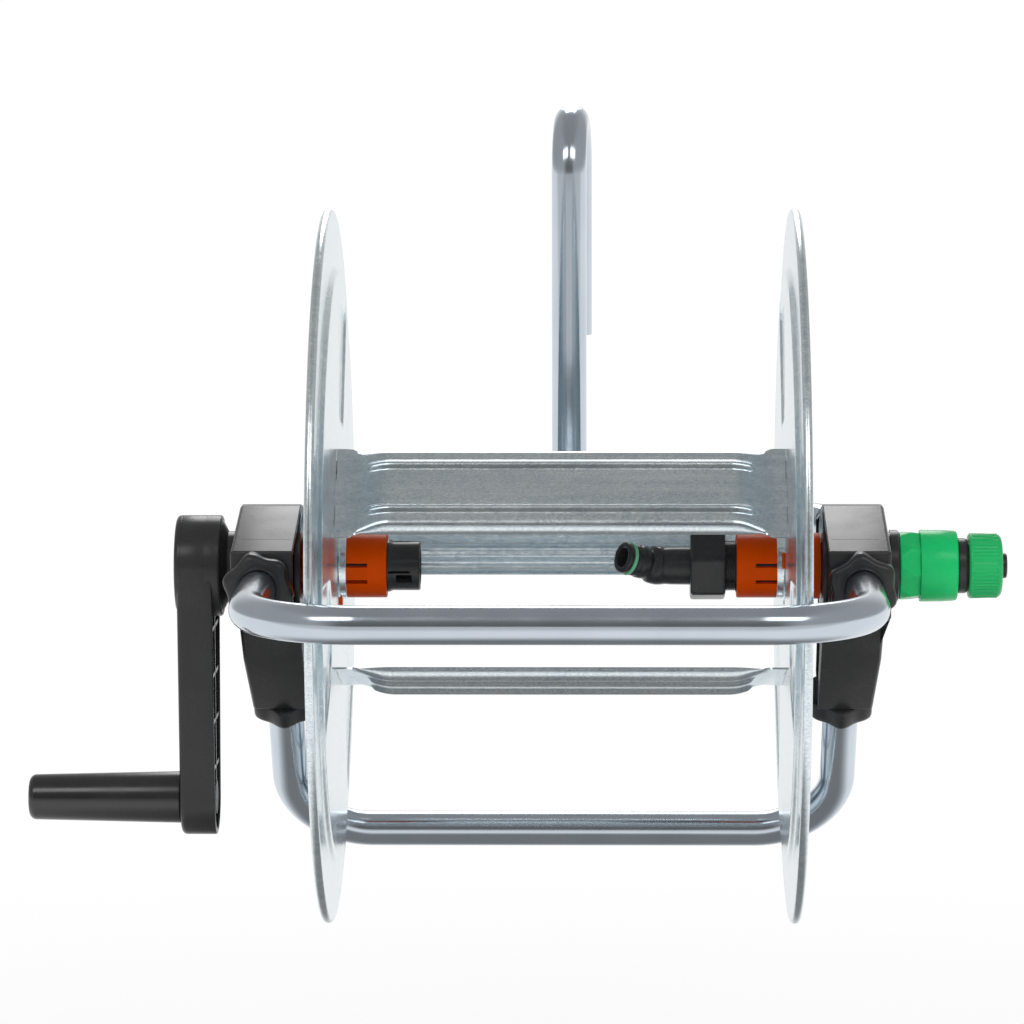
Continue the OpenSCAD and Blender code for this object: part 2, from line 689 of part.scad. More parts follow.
module grip() color("dimgray") from_pin() mirror([1, 0, 0]) at_grip() {
  r0 = grip_d / 2;
  r1 = grip_end_d / 2;
  bore = pin_d / 2 + run_gap;
  lathe(concat(
    [[bore, grip_start], [r0 - 0.8, grip_start], [r0, grip_start + 0.8], [r1, grip_end - grip_round]],
    arc([r1 - grip_round, grip_end - grip_round], grip_round, 0, 90, 6),
    [[0, grip_end], [0, crank_face + pin_reach + 2], [pin_head_r + 0.3, crank_face + pin_reach + 2],
      [pin_head_r + 0.3, crank_face + pin_reach - 5 - run_gap], [bore, crank_face + pin_reach - 5 - run_gap]]
  ));
}

// WATER SIDE

collar_start = block_out + seat_gap;
collar_step = collar_start + collar_out * 0.4;
nipple_base = collar_start + collar_out;
neck_end = nipple_base + 7;
ridge_end = neck_end + 3;
nipple_tip = ridge_end + 11;
spigot_r = spigot_d / 2;
thread_stub_r = water_shaft_d / 2 - 0.9;
union_end = bush_tip - thread_gap;
union_start = union_end - union_len;

module water_shaft() color("dimgray") from_pin() difference() {
  union() {
    lathe([
      [0, union_end - 10], [thread_stub_r - 0.6, union_end - 10], [thread_stub_r, union_end - 9.4],
      [thread_stub_r, bush_tip - seat_gap], [water_shaft_d / 2, bush_tip - seat_gap],
      [water_shaft_d / 2, shaft_step], [journal_d / 2, shaft_step], [journal_d / 2, collar_start],
      [collar_d / 2 - 1, collar_start], [collar_d / 2 - 1, collar_step], [collar_d / 2, collar_step],
      [collar_d / 2, nipple_base - 0.6], [collar_d / 2 - 0.6, nipple_base],
      [spigot_r + 1.4, nipple_base], [spigot_r - 0.8, nipple_base + 2], [spigot_r - 0.8, neck_end],
      [spigot_r + 0.6, neck_end + 0.8], [spigot_r + 0.6, ridge_end - 0.8], [spigot_r - 0.05, ridge_end],
      [spigot_r - 0.05, nipple_tip - 1], [spigot_r - 1, nipple_tip], [0, nipple_tip]
    ]);
    keys(bush_tip + 0.5, shaft_step, water_shaft_d / 2 + key_h, key_w);
  }
  bar(water_bore / 2, union_end - 11, nipple_tip + 1);
}

hex_corner_r = union_af / 2 / cos(30);

module union_nut() color("dimgray") from_pin() difference() {
  intersection() {
    turned(14) rotate([0, 90, 0]) translate([0, 0, union_start]) cylinder(h = union_len, r = hex_corner_r, $fn = 6);
    lathe([[0, union_start], [union_af / 2 - 0.4, union_start], [hex_corner_r + 0.1, union_start + 1.8],
      [hex_corner_r + 0.1, union_end - 1.8], [union_af / 2 - 0.4, union_end], [0, union_end]]);
  }
  bar(thread_stub_r + 0.1, union_start + 4, union_end + 1);
  bar(elbow_d / 2 + 0.1, union_start - 1, union_start + 5);
}

elbow_face = union_start + 7.3;
elbow_x = union_start - elbow_run;
elbow_r = elbow_d / 2;
elbow_bend_r = 12;
elbow_t = elbow_bend_r * tan(elbow_bend / 2);
curve_step = 0.05;

// Turns a piece from along the axle to along the spigot
module on_spigot() turned(-elbow_turn) translate([elbow_x, 0, 0]) rotate([0, 0, -180 + elbow_bend]) children();

// The bent length of the elbow, from the straight run to the spigot, a hair thinner than both
module elbow_curve(r) turned(-elbow_turn) translate([elbow_x + elbow_t, -elbow_bend_r, 0]) rotate([0, 0, 90])
  rotate_extrude(angle = elbow_bend) translate([elbow_bend_r, 0]) circle(r = r - curve_step);

module outlet_elbow() color("dimgray") from_pin() difference() {
  union() {
    lathe([[0, elbow_x + elbow_t], [elbow_r, elbow_x + elbow_t], [elbow_r, union_start + 4.2],
      [thread_stub_r - 0.6, union_start + 4.2], [thread_stub_r - 0.6, elbow_face], [0, elbow_face]]);
    elbow_curve(elbow_r);
    on_spigot() lathe([
      [0, elbow_t], [elbow_r, elbow_t], [spigot_r - 0.9, 5.2], [spigot_r - 0.9, 6.8],
      [spigot_r + 0.4, 7.6], [spigot_r + 0.4, 11.4], [spigot_r - 0.05, 12], [spigot_r - 0.05, ring_at - 1.3],
      [spigot_r - 1.7, ring_at - 1.3], [spigot_r - 1.7, ring_at + 1.3], [spigot_r - 0.05, ring_at + 1.3],
      [spigot_r - 0.05, spigot_len - 0.8], [spigot_r - 0.8, spigot_len], [0, spigot_len]
    ]);
  }
  bar(water_bore / 2, elbow_x + elbow_t, elbow_face + 1);
  elbow_curve(water_bore / 2);
  on_spigot() bar(water_bore / 2, elbow_t, spigot_len + 1);
}

ring_at = spigot_len - 4.2;

module outlet_ring() color("palegreen") from_pin() on_spigot() rotate([0, 90, 0])
  rotate_extrude() translate([spigot_r - 0.6, ring_at]) circle(r = 1.05, $fn = 24);

module outlet_seal() color("gray") from_pin() difference() {
  bar(thread_stub_r - 0.6, elbow_face + eps, union_end - 10 - eps);
  bar(water_bore / 2, elbow_face - 1, union_end);
}

// SUPPLY CONNECTOR

sleeve_start = nipple_base + seat_gap;
sleeve_end = sleeve_start + sleeve_len;
ring_start = sleeve_end + 0.1;
body_start = sleeve_start + 3;
body_r = body_d / 2;
body_floor = nipple_tip + seat_gap;
hose_nut_start = ring_start + ring_len;
hose_nut_end = hose_nut_start + hose_nut_len;
tail_r = tail_d / 2;
hose_thread_r = 12;
claw_x = neck_end - 3.3;
claw_len = 3;
claw_w = 6;
claw_angles = [0, 120, 240];
claw_room = 1.5;
spring_room = 11;
sleeve_step = ring_start - spring_room;

module connector_body() color("dimgray") from_pin() difference() {
  lathe([
    [0, body_start], [body_r - 0.6, body_start], [body_r, body_start + 0.6], [body_r, ring_start],
    [ring_d / 2 - 0.6, ring_start], [ring_d / 2, ring_start + 0.6],
    [ring_d / 2, hose_nut_start - 1.6], [ring_d / 2 - 0.8, hose_nut_start - 0.4],
    [hose_thread_r, hose_nut_start - 0.4], [hose_thread_r, hose_nut_start + 9],
    [tail_r + 1, hose_nut_start + 9], [tail_r, hose_nut_start + 10],
    [tail_r, hose_nut_end + tail_out - 0.6], [tail_r - 0.6, hose_nut_end + tail_out], [0, hose_nut_end + tail_out]
  ]);
  bar(spigot_r + 1, body_start - 1, ridge_end + 1.2);
  bar(spigot_r + seal_groove, ridge_end + 3.5, ridge_end + 6.5);
  bar(spigot_r - 0.05 + run_gap, body_start, body_floor);
  bar(water_bore / 2, body_start, hose_nut_end + tail_out + 1);
  for (a = claw_angles) turned(a) translate([claw_x - 0.2, 0, -claw_w / 2 - 0.2])
    cube([claw_len + 0.4, body_r + 1, claw_w + 0.4]);
}

seal_groove = 1.7;

module connector_seal() color("palegreen") from_pin() rotate([0, 90, 0])
  rotate_extrude() translate([spigot_r + 0.86, ridge_end + 5]) circle(r = 0.8, $fn = 24);

module connector_claws() color("green") from_pin() for (a = claw_angles) turned(a)
  intersection() {
    translate([claw_x, 0, -claw_w / 2]) cube([claw_len, body_r + 1, claw_w]);
    difference() {
      bar(body_r - 0.1, claw_x - 1, claw_x + claw_len + 1);
      bar(spigot_r - 0.4, claw_x - 2, claw_x + claw_len + 2);
    }
  }

module release_sleeve() color("seagreen") from_pin() {
  r = sleeve_d / 2;
  difference() {
    lathe([
      [body_r + run_gap, claw_x - 0.3], [body_r + claw_room, claw_x - 1.2], [body_r + claw_room, sleeve_start],
      [r - 1.4, sleeve_start], [r - 1, sleeve_start + 0.5], [r, sleeve_start + sleeve_len * 0.36],
      [r - 0.2, sleeve_start + sleeve_len * 0.38], [r - 0.6, sleeve_end - 1], [r - 1.4, sleeve_end],
      [ring_d / 2 + 1, sleeve_end], [ring_d / 2 + 1, sleeve_step], [body_r + run_gap, sleeve_step]
    ]);
    for (k = [0:7]) turned(45 * k + 22) translate([sleeve_start + 2, r - 0.9, 0])
      rotate([-90, 0, 0]) linear_extrude(3) polygon([[0, -4], [9, 0], [0, 4]]);
  }
}

spring_wire = 1;
spring_turns = 4;
spring_start = sleeve_step + sleeve_travel + 0.1;
spring_end = ring_start - 0.1;

// Points of a round wire section carried along a helix
function coil_ring(i, n, sides) = let (
  t = i / n, a = 360 * spring_turns * t, m = (body_r + ring_d / 2) / 2 + 0.15,
  x = spring_start + spring_wire / 2 + (spring_end - spring_start - spring_wire) * t)
  [for (j = [0:sides - 1]) let (b = 360 * j / sides, q = m + cos(b) * spring_wire / 2)
    [x + sin(b) * spring_wire / 2, q * cos(a), q * sin(a)]];

module sleeve_spring() color("silver") from_pin() {
  sides = 6;
  n = spring_turns * 16;
  points = [for (i = [0:n]) each coil_ring(i, n, sides)];
  walls = [for (i = [0:n - 1], j = [0:sides - 1]) let (k = (j + 1) % sides)
    each [[i * sides + j, (i + 1) * sides + j, i * sides + k], [i * sides + k, (i + 1) * sides + j, (i + 1) * sides + k]]];
  caps = [[for (j = [0:sides - 1]) j], [for (j = [sides - 1:-1:0]) n * sides + j]];
  polyhedron(points, concat(walls, caps), convexity = 8);
}

collet_r = hose_thread_r - 0.9;

module hose_collet() color("dimgray") from_pin() difference() {
  lathe([[collet_r - 1.6, hose_nut_start + 9.1], [collet_r, hose_nut_start + 9.1], [collet_r, hose_nut_end - 4],
    [collet_r - 0.8, hose_nut_end - 2.2], [collet_r - 1.6, hose_nut_end - 2.2]]);
  for (k = [0:5]) turned(60 * k + 30) translate([hose_nut_start + 11, 0, -0.6]) cube([20, hose_thread_r, 1.2]);
}

module hose_nut() color("green") from_pin() {
  r = hose_nut_d / 2;
  difference() {
    lathe([
      [0, hose_nut_start], [r - 1, hose_nut_start], [r, hose_nut_start + 1], [r, hose_nut_end - 2],
      [r - 1.6, hose_nut_end - 0.4], [r - 4, hose_nut_end], [0, hose_nut_end]
    ]);
    bar(hose_thread_r + run_gap, hose_nut_start - 1, hose_nut_end - 1.8);
    bar(collet_r - 1.6, hose_nut_start, hose_nut_end + 1);
    for (k = [0:nut_ribs - 1]) turned(360 * k / nut_ribs) translate([hose_nut_start + 4, r, 0]) rotate([0, 90, 0])
      cylinder(h = hose_nut_len, r = 1.1, $fn = 6);
  }
}

front_tube();
rear_tube();
lower_tube();
hook_tube();
hook_weld();
left_block();
right_block();
front_clamp_nuts();
rear_clamp_nuts();
lower_clamp_nuts();
clamp_rings();
left_disc();
right_disc();
upper_stave();
lower_stave();
rear_stave();
left_bush();
right_bush();
crank_shaft();
crank_arm();
crank_screw();
grip_pin();
grip();
water_shaft();
union_nut();
outlet_elbow();
outlet_seal();
outlet_ring();
connector_body();
connector_seal();
connector_claws();
release_sleeve();
sleeve_spring();
hose_collet();
hose_nut();
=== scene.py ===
"""Wall mounted hose reel: looks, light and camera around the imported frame. Metres, +Z up."""
import json
import math

import bmesh
import bpy
from mathutils import Matrix, Vector


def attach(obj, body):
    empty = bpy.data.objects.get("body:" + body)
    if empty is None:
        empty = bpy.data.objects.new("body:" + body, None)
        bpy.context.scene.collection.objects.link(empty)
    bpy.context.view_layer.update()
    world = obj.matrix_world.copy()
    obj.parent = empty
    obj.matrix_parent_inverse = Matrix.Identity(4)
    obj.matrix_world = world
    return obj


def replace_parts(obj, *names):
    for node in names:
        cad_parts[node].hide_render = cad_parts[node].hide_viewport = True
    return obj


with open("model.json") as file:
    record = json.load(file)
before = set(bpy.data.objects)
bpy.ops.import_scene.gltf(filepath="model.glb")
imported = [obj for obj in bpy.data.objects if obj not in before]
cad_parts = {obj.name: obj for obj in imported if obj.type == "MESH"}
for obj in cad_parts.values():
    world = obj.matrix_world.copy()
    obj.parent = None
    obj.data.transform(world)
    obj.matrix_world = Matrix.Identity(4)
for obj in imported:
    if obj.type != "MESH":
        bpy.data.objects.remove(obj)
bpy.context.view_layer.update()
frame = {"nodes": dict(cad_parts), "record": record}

# FRAME SIZES, in mm from the middle of the axle: X along it, Y toward the wall, Z up

MM = 0.001
DISC_R = 181.0
TUBE_R, TUBE_WALL, TUBE_STOP = 9.25, 1.5, 30.0
FRONT_REACH = DISC_R + 9.8 + TUBE_R
REAR_REACH = DISC_R + 9.8 + TUBE_R
LOWER_REACH = DISC_R + 5.6 + TUBE_R
LOWER_TILT = math.radians(36.0)
LEG_X, BEND_R = 148.6, 55.0
LOW_LEG_X, LOW_BEND_R = 145.0, 43.0
HOOK_X, HOOK_PITCH, HOOK_TOP, PIN_LEN, HOOK_TUBE_R = 2.5, 54.0, 187.5, 92.5, 9.5
HOOK_TURN = math.radians(3.0)
HOOK_WAY = Vector((math.sin(HOOK_TURN), math.cos(HOOK_TURN), 0))
HOOK_FOOT = Vector((HOOK_X, REAR_REACH, 0))
PIN = HOOK_FOOT + HOOK_WAY * HOOK_PITCH + Vector((0, 0, HOOK_TOP))


def place(x, y, z):
    """A point given in mm from the middle of the axle, in the frame of the wall pin."""
    return (Vector((x, y, z)) - PIN) * MM


# CAMERA

FOCAL_PX = 4686.0
FRAME_PX = 1024.0
SENSOR_MM = 36.0
CAMERA_DISTANCE = 2380.0
CAMERA_TILT = math.radians(8.0)
CAMERA_SIDE = 21.0
AXIS_PX = (603.0, 565.6)


def make_camera():
    """The photograph's camera: it looks down by 8 degrees, with a spot on the axle at AXIS_PX."""
    forward = Vector((0, math.cos(CAMERA_TILT), -math.sin(CAMERA_TILT)))
    right = Vector((1, 0, 0))
    up = right.cross(forward)
    spot = place(CAMERA_SIDE, 0, 0) - forward * CAMERA_DISTANCE * MM
    middle = FRAME_PX / 2
    aim = (forward + right * ((middle - AXIS_PX[0]) / FOCAL_PX)
           - up * ((middle - AXIS_PX[1]) / FOCAL_PX)).normalized()
    side = (right - aim * right.dot(aim)).normalized()
    top = side.cross(aim)
    data = bpy.data.cameras.new("camera")
    data.sensor_width = SENSOR_MM
    data.lens = SENSOR_MM * FOCAL_PX / FRAME_PX
    data.clip_start = 0.05
    data.clip_end = 300.0
    camera = bpy.data.objects.new("camera", data)
    turn = Matrix((side, top, -aim)).transposed().to_4x4()
    camera.matrix_world = Matrix.Translation(spot) @ turn
    bpy.context.scene.collection.objects.link(camera)
    bpy.context.scene.camera = camera


make_camera()

# NODE TREES


class Graph:
    """A short way to write a node tree."""

    def __init__(self, tree):
        self.tree = tree

    def new(self, kind, **values):
        node = self.tree.nodes.new("ShaderNode" + kind)
        for key, value in values.items():
            node.inputs[key.replace("_", " ")].default_value = value
        return node

    def link(self, source, socket):
        self.tree.links.new(source, socket)

    def math(self, kind, *terms):
        node = self.new("Math")
        node.operation = kind
        for socket, term in zip(node.inputs, terms):
            if isinstance(term, (int, float)):
                socket.default_value = term
            else:
                self.link(term, socket)
        return node.outputs["Value"]

    def total(self, *parts):
        """The sum of the parts, each given with its weight."""
        shares = [self.math("MULTIPLY", value, weight) for value, weight in parts]
        while len(shares) > 1:
            last = shares.pop()
            shares.append(self.math("ADD", shares.pop(), last))
        return shares[0]

    def span(self, value, lo, hi, from_lo=0.0, from_hi=1.0, kind="LINEAR"):
        node = self.new("MapRange", From_Min=from_lo, From_Max=from_hi, To_Min=lo, To_Max=hi)
        node.interpolation_type = kind
        self.link(value, node.inputs["Value"])
        return node.outputs["Result"]

    def ramp(self, value, stops):
        """Colours, or grey levels, by the value."""
        node = self.new("ValToRGB")
        elements = node.color_ramp.elements
        while len(elements) < len(stops):
            elements.new(0.5)
        for element, (spot, colour) in zip(elements, stops):
            element.position = spot
            element.color = (*colour, 1) if isinstance(colour, tuple) else (colour, colour, colour, 1)
        self.link(value, node.inputs["Fac"])
        return node.outputs["Color"]

    def mix_colours(self, share, first, second):
        node = self.new("Mix")
        node.data_type = "RGBA"
        for slot, source in ((0, share), (6, first), (7, second)):
            self.link(source, node.inputs[slot])
        return node.outputs[2]

    def mix_shaders(self, share, first, second):
        node = self.new("MixShader")
        for slot, source in enumerate((share, first.outputs[0], second.outputs[0])):
            self.link(source, node.inputs[slot])
        return node.outputs[0]


class Surface(Graph):
    """A material on the Principled shader, with textures in the piece's own coordinates."""

    def __init__(self, name):
        self.mat = bpy.data.materials.new(name)
        self.mat.use_nodes = True
        super().__init__(self.mat.node_tree)
        self.bsdf = self.tree.nodes["Principled BSDF"]
        self.coords = self.new("TexCoord").outputs["Object"]

    def set(self, **values):
        for key, value in values.items():
            self.bsdf.inputs[key.replace("_", " ")].default_value = value

    def drive(self, **sources):
        for key, source in sources.items():
            self.link(source, self.bsdf.inputs[key.replace("_", " ")])

    def noise(self, scale, detail=3.0, stretch=None):
        """Noise, drawn out along the axes that the stretch makes small."""
        node = self.new("TexNoise", Scale=scale, Detail=detail)
        vector = self.coords
        if stretch:
            mapping = self.new("Mapping", Scale=stretch)
            self.link(vector, mapping.inputs["Vector"])
            vector = mapping.outputs["Vector"]
        self.link(vector, node.inputs["Vector"])
        return node.outputs["Fac"]

    def cells(self, scale):
        """Small patches, each with a random level."""
        node = self.new("TexVoronoi", Scale=scale)
        self.link(self.coords, node.inputs["Vector"])
        split = self.new("SeparateColor")
        self.link(node.outputs["Color"], split.inputs["Color"])
        return split.outputs["Red"]

    def bump(self, height, strength, distance, below=None):
        node = self.new("Bump", Strength=strength, Distance=distance)
        self.link(height, node.inputs["Height"])
        if below:
            self.link(below, node.inputs["Normal"])
        return node.outputs["Normal"]


# MATERIALS

GRAIN_SCALE, GRAIN_DEPTH = 2600.0, 0.000006
TUBE_DARK, TUBE_LIGHT = (0.56, 0.62, 0.685), (0.62, 0.68, 0.745)
SHEET_DARK, SHEET_LIGHT = (0.575, 0.66, 0.72), (0.92, 0.98, 0.99)
PRESS_DEPTH, DRAW_DEPTH, RUBBER_DEPTH = 0.00004, 0.00002, 0.00002


def shade(colour, factor):
    return tuple(min(1.0, c * factor) for c in colour)


def plastic(name, colour, rough, mottle=0.05, gloss=0.5):
    """Moulded plastic: a fine spark-eroded grain, slight flow marks and uneven gloss."""
    n = Surface(name)
    flow = n.noise(55.0, 4.0)
    grain = n.noise(GRAIN_SCALE, 2.0)
    waves = n.bump(n.noise(120.0, 2.0), 0.1, 0.0001)
    n.drive(Base_Color=n.ramp(flow, [(0.3, shade(colour, 1 - mottle)), (0.7, shade(colour, 1 + mottle))]),
            Roughness=n.span(n.total((flow, 1.0), (grain, 0.5)), rough - 0.06, rough + 0.08, 0.4, 1.1),
            Normal=n.bump(grain, 0.3, GRAIN_DEPTH, waves))
    n.set(Specular_IOR_Level=gloss)
    return n.mat


def tube_metal(name):
    """Bright zinc on drawn tube: soft clouds, small specks and uneven gloss."""
    n = Surface(name)
    cloud = n.noise(28.0)
    specks = n.noise(900.0)
    n.drive(Base_Color=n.ramp(cloud, [(0.3, TUBE_DARK), (0.7, TUBE_LIGHT)]),
            Roughness=n.span(n.total((cloud, 1.0), (specks, 0.4)), 0.13, 0.21, 0.4, 1.1),
            Normal=n.bump(specks, 0.06, DRAW_DEPTH))
    n.set(Metallic=1.0)
    return n.mat


def sheet_metal(name):
    """Galvanised sheet: faint crystals, fine rolling lines and specks on a soft bluish mirror."""
    n = Surface(name)
    lines = n.noise(260.0, stretch=(0.05, 1.0, 1.0))
    specks = n.noise(1700.0, 2.0, stretch=(0.45, 1.0, 1.0))
    tone = n.total((lines, 0.45), (n.noise(9.0), 0.45), (n.cells(300.0), 0.1))
    spots = n.total((tone, 0.5), (specks, 0.5))
    n.drive(Base_Color=n.ramp(spots, [(0.36, SHEET_DARK), (0.64, SHEET_LIGHT)]),
            Roughness=n.span(tone, 0.16, 0.29, 0.25, 0.75),
            Normal=n.bump(specks, 0.7, PRESS_DEPTH, n.bump(lines, 0.24, PRESS_DEPTH)))
    n.set(Metallic=1.0)
    return n.mat


def rubber(name, colour, rough):
    n = Surface(name)
    grain = n.noise(1500.0)
    n.drive(Base_Color=n.ramp(grain, [(0.3, shade(colour, 0.9)), (0.7, shade(colour, 1.1))]),
            Roughness=n.span(grain, rough - 0.05, rough + 0.08),
            Normal=n.bump(grain, 0.4, RUBBER_DEPTH))
    return n.mat


# Each slot's kind of surface, then its colour and roughness and, for some plastics, mottle and gloss
LOOKS = {
    "galvanised_tube": (tube_metal,),
    "galvanised_sheet": (sheet_metal,),
    "weld_metal": (tube_metal,),
    "screw_steel": (tube_metal,),
    "black_plastic": (plastic, (0.029, 0.029, 0.030), 0.24, 0.12, 0.35),
    "grip_plastic": (plastic, (0.012, 0.012, 0.0125), 0.21, 0.12, 0.8),
    "grey_plastic": (plastic, (0.09, 0.09, 0.09), 0.4),
    "orange_plastic": (plastic, (0.74, 0.074, 0.0), 0.33, 0.05, 0.06),
    "green_plastic": (plastic, (0.006, 0.56, 0.155), 0.25, 0.05, 0.3),
    "dark_green_plastic": (plastic, (0.012, 0.48, 0.135), 0.3, 0.05, 0.3),
    "seal_rubber": (rubber, (0.03, 0.03, 0.03), 0.6),
    "ring_rubber": (rubber, (0.16, 0.52, 0.3), 0.45),
}
MATERIALS = {slot: surface(slot, *values) for slot, (surface, *values) in LOOKS.items()}

for part in frame["record"]["subparts"]:
    solid = frame["nodes"][part["node"]]
    solid.data.materials.clear()
    solid.data.materials.append(MATERIALS[part["material_slot"]])

# OUTLINES

EDGE_STEPS = 5


def smoothstep(t):
    t = min(1.0, max(0.0, t))
    return t * t * (3 - 2 * t)


def ease(t):
    """A step with no kink in its curvature."""
    t = max(0.0, min(1.0, t))
    return t * t * t * (t * (6 * t - 15) + 10)


def turn_x(y, z, angle):
    c, s = math.cos(angle), math.sin(angle)
    return y * c - z * s, y * s + z * c


def mirrored(x, y, z):
    return -x, y, z


def circle(radius, count, middle=(0.0, 0.0)):
    return [(middle[0] + radius * math.cos(2 * math.pi * k / count),
             middle[1] + radius * math.sin(2 * math.pi * k / count)) for k in range(count)]


def same_turns(points, radius):
    """A circle with a point in the same direction as each point of an outline."""
    return [tuple(Vector(p).normalized() * radius) for p in points]


def fillet(points, radius, steps=5):
    """A closed outline with rounded corners: one radius for all or one for each corner."""
    out = []
    for i, spot in enumerate(points):
        want = radius[i] if isinstance(radius, (list, tuple)) else radius
        here = Vector(spot)
        a, b = Vector(points[i - 1]) - here, Vector(points[(i + 1) % len(points)]) - here
        half = a.angle(b) / 2
        if want <= 0 or half > math.radians(89):
            out.append(tuple(here))
            continue
        cut = min(want / math.tan(half), a.length * 0.49, b.length * 0.49)
        real = cut * math.tan(half)
        a.normalize()
        b.normalize()
        centre = here + (a + b).normalized() * (real / math.sin(half))
        u, v = here + a * cut - centre, here + b * cut - centre
        start = math.atan2(u.y, u.x)
        turn = (math.atan2(v.y, v.x) - start + math.pi) % (2 * math.pi) - math.pi
        for k in range(steps + 1):
            t = start + turn * k / steps
            out.append((centre.x + real * math.cos(t), centre.y + real * math.sin(t)))
    return out


def shrink(points, depth):
    """A closed counterclockwise outline moved inward."""
    out = []
    for i, spot in enumerate(points):
        before, here, after = Vector(points[i - 1]), Vector(spot), Vector(points[(i + 1) % len(points)])
        u, v = (here - before).normalized(), (after - here).normalized()
        way = Vector((-u.y - v.y, u.x + v.x)).normalized()
        out.append(tuple(here + way * depth / max(0.5, way.dot(Vector((-u.y, u.x))))))
    return out


def round_edge(outline, x, radius, way):
    """Sections round an edge, from the side wall to the face at x that looks along way."""
    turns = [math.pi / 2 * k / EDGE_STEPS for k in range(EDGE_STEPS + 1)]
    return [(x - way * radius * (1 - math.sin(t)), shrink(outline, radius * (1 - math.cos(t))))
            for t in turns]


# SHAPES


class Shape:
    """Collects the shells of one piece, in mm about the axle."""

    def __init__(self):
        self.verts, self.faces = [], []

    def loft(self, loops, start=True, end=True, ring=False):
        """Joins loops of the same count, with caps or, as a ring, the last to the first."""
        base, count, rows = len(self.verts), len(loops[0]), len(loops)
        for loop in loops:
            self.verts += [tuple(p) for p in loop]
        for i in range(rows if ring else rows - 1):
            j = (i + 1) % rows
            for k in range(count):
                m = (k + 1) % count
                self.faces.append((base + i * count + k, base + i * count + m,
                                   base + j * count + m, base + j * count + k))
        if start and not ring:
            self.faces.append(tuple(base + k for k in range(count)))
        if end and not ring:
            self.faces.append(tuple(base + (rows - 1) * count + k for k in range(count)))
        return self

    def sheet(self, outer, inner):
        """A sheet between two grids of points."""
        base, rows, count = len(self.verts), len(outer), len(outer[0])
        layer = rows * count
        for row in outer + inner:
            self.verts += row
        for i in range(rows - 1):
            for j in range(count - 1):
                a = base + i * count + j
                self.faces.append((a, a + 1, a + count + 1, a + count))
                self.faces.append(tuple(layer + v for v in (a, a + count, a + count + 1, a + 1)))
        for i in range(rows - 1):
            for j in (0, count - 1):
                a = base + i * count + j
                self.faces.append((a, a + count, layer + a + count, layer + a))
        for j in range(count - 1):
            for i in (0, rows - 1):
                a = base + i * count + j
                self.faces.append((a, a + 1, layer + a + 1, layer + a))
        return self

    def across(self, sections, **caps):
        """Outlines in Y and Z, each at its place along the axle."""
        return self.loft([[(x, y, z) for y, z in outline] for x, outline in sections], **caps)

    def lathe(self, profile, steps=96, middle=(0.0, 0.0)):
        """A closed profile of radius and place along the axle, turned about it."""
        return self.across([(x, circle(max(r, 0.001), steps, middle)) for r, x in profile], ring=True)

    def box(self, low, high, angle=0.0):
        """A box turned about the axle."""
        corners = [(x, y, z) for x in (low[0], high[0]) for y, z in
                   ((low[1], low[2]), (high[1], low[2]), (high[1], high[2]), (low[1], high[2]))]
        turned = [(x, *turn_x(y, z, angle)) for x, y, z in corners]
        return self.loft([turned[:4], turned[4:]])

    def moved(self, change):
        self.verts = [change(*p) for p in self.verts]
        return self

    def join(self, other):
        base = len(self.verts)
        self.verts += other.verts
        self.faces += [tuple(base + v for v in face) for face in other.faces]
        return self

    def make(self, name, body, slot, smooth_angle):
        """The piece itself, riding on a body, with sharp edges where it bends by more than an angle."""
        data = bpy.data.meshes.new(name)
        data.from_pydata([place(*v) for v in self.verts], [], self.faces)
        data.validate()
        work = bmesh.new()
        work.from_mesh(data)
        bmesh.ops.recalc_face_normals(work, faces=work.faces)
        limit = math.radians(smooth_angle)
        for edge in work.edges:
            edge.smooth = not (edge.is_manifold and edge.calc_face_angle(0) > limit)
        for face in work.faces:
            face.smooth = True
        work.to_mesh(data)
        work.free()
        data.materials.append(MATERIALS[slot])
        piece = bpy.data.objects.new(name, data)
        bpy.context.scene.collection.objects.link(piece)
        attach(piece, body)
        return piece

    def cover(self, node, body, slot, smooth_angle):
        """Makes the piece and has it stand in for a node's solid."""
        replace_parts(self.make(node + "_skin", body, slot, smooth_angle), node)


# TUBES

TUBE_SIDES, BEND_STEPS, HOOK_STEPS = 48, 40, 48
WELD_SINK = 6.0


def tube(path, radius):
    """A hollow round tube along a path of points, open at both ends."""
    points = [Vector(p) for p in path]
    rings = []
    normal = None
    for i, spot in enumerate(points):
        ahead = (points[min(i + 1, len(points) - 1)] - points[max(i - 1, 0)]).normalized()
        if normal is None:
            normal = ahead.orthogonal().normalized()
        normal = (normal - ahead * normal.dot(ahead)).normalized()
        rings.append((spot, normal.copy(), ahead.cross(normal)))
    sized = [(radius, ring) for ring in rings] + [(radius - TUBE_WALL, ring) for ring in reversed(rings)]
    turns = [2 * math.pi * k / TUBE_SIDES for k in range(TUBE_SIDES)]
    return Shape().loft([[spot + u * math.cos(a) * r + v * math.sin(a) * r for a in turns]
                         for r, (spot, u, v) in sized], ring=True)


def straight(a, b, steps):
    a, b = Vector(a), Vector(b)
    return [tuple(a.lerp(b, t / steps)) for t in range(steps + 1)]


def arc_path(centre, u, v, radius, start, end, steps):
    centre, u, v = Vector(centre), Vector(u), Vector(v)
    return [tuple(centre + u * radius * math.cos(t) + v * radius * math.sin(t))
            for t in (start + (end - start) * i / steps for i in range(steps + 1))]


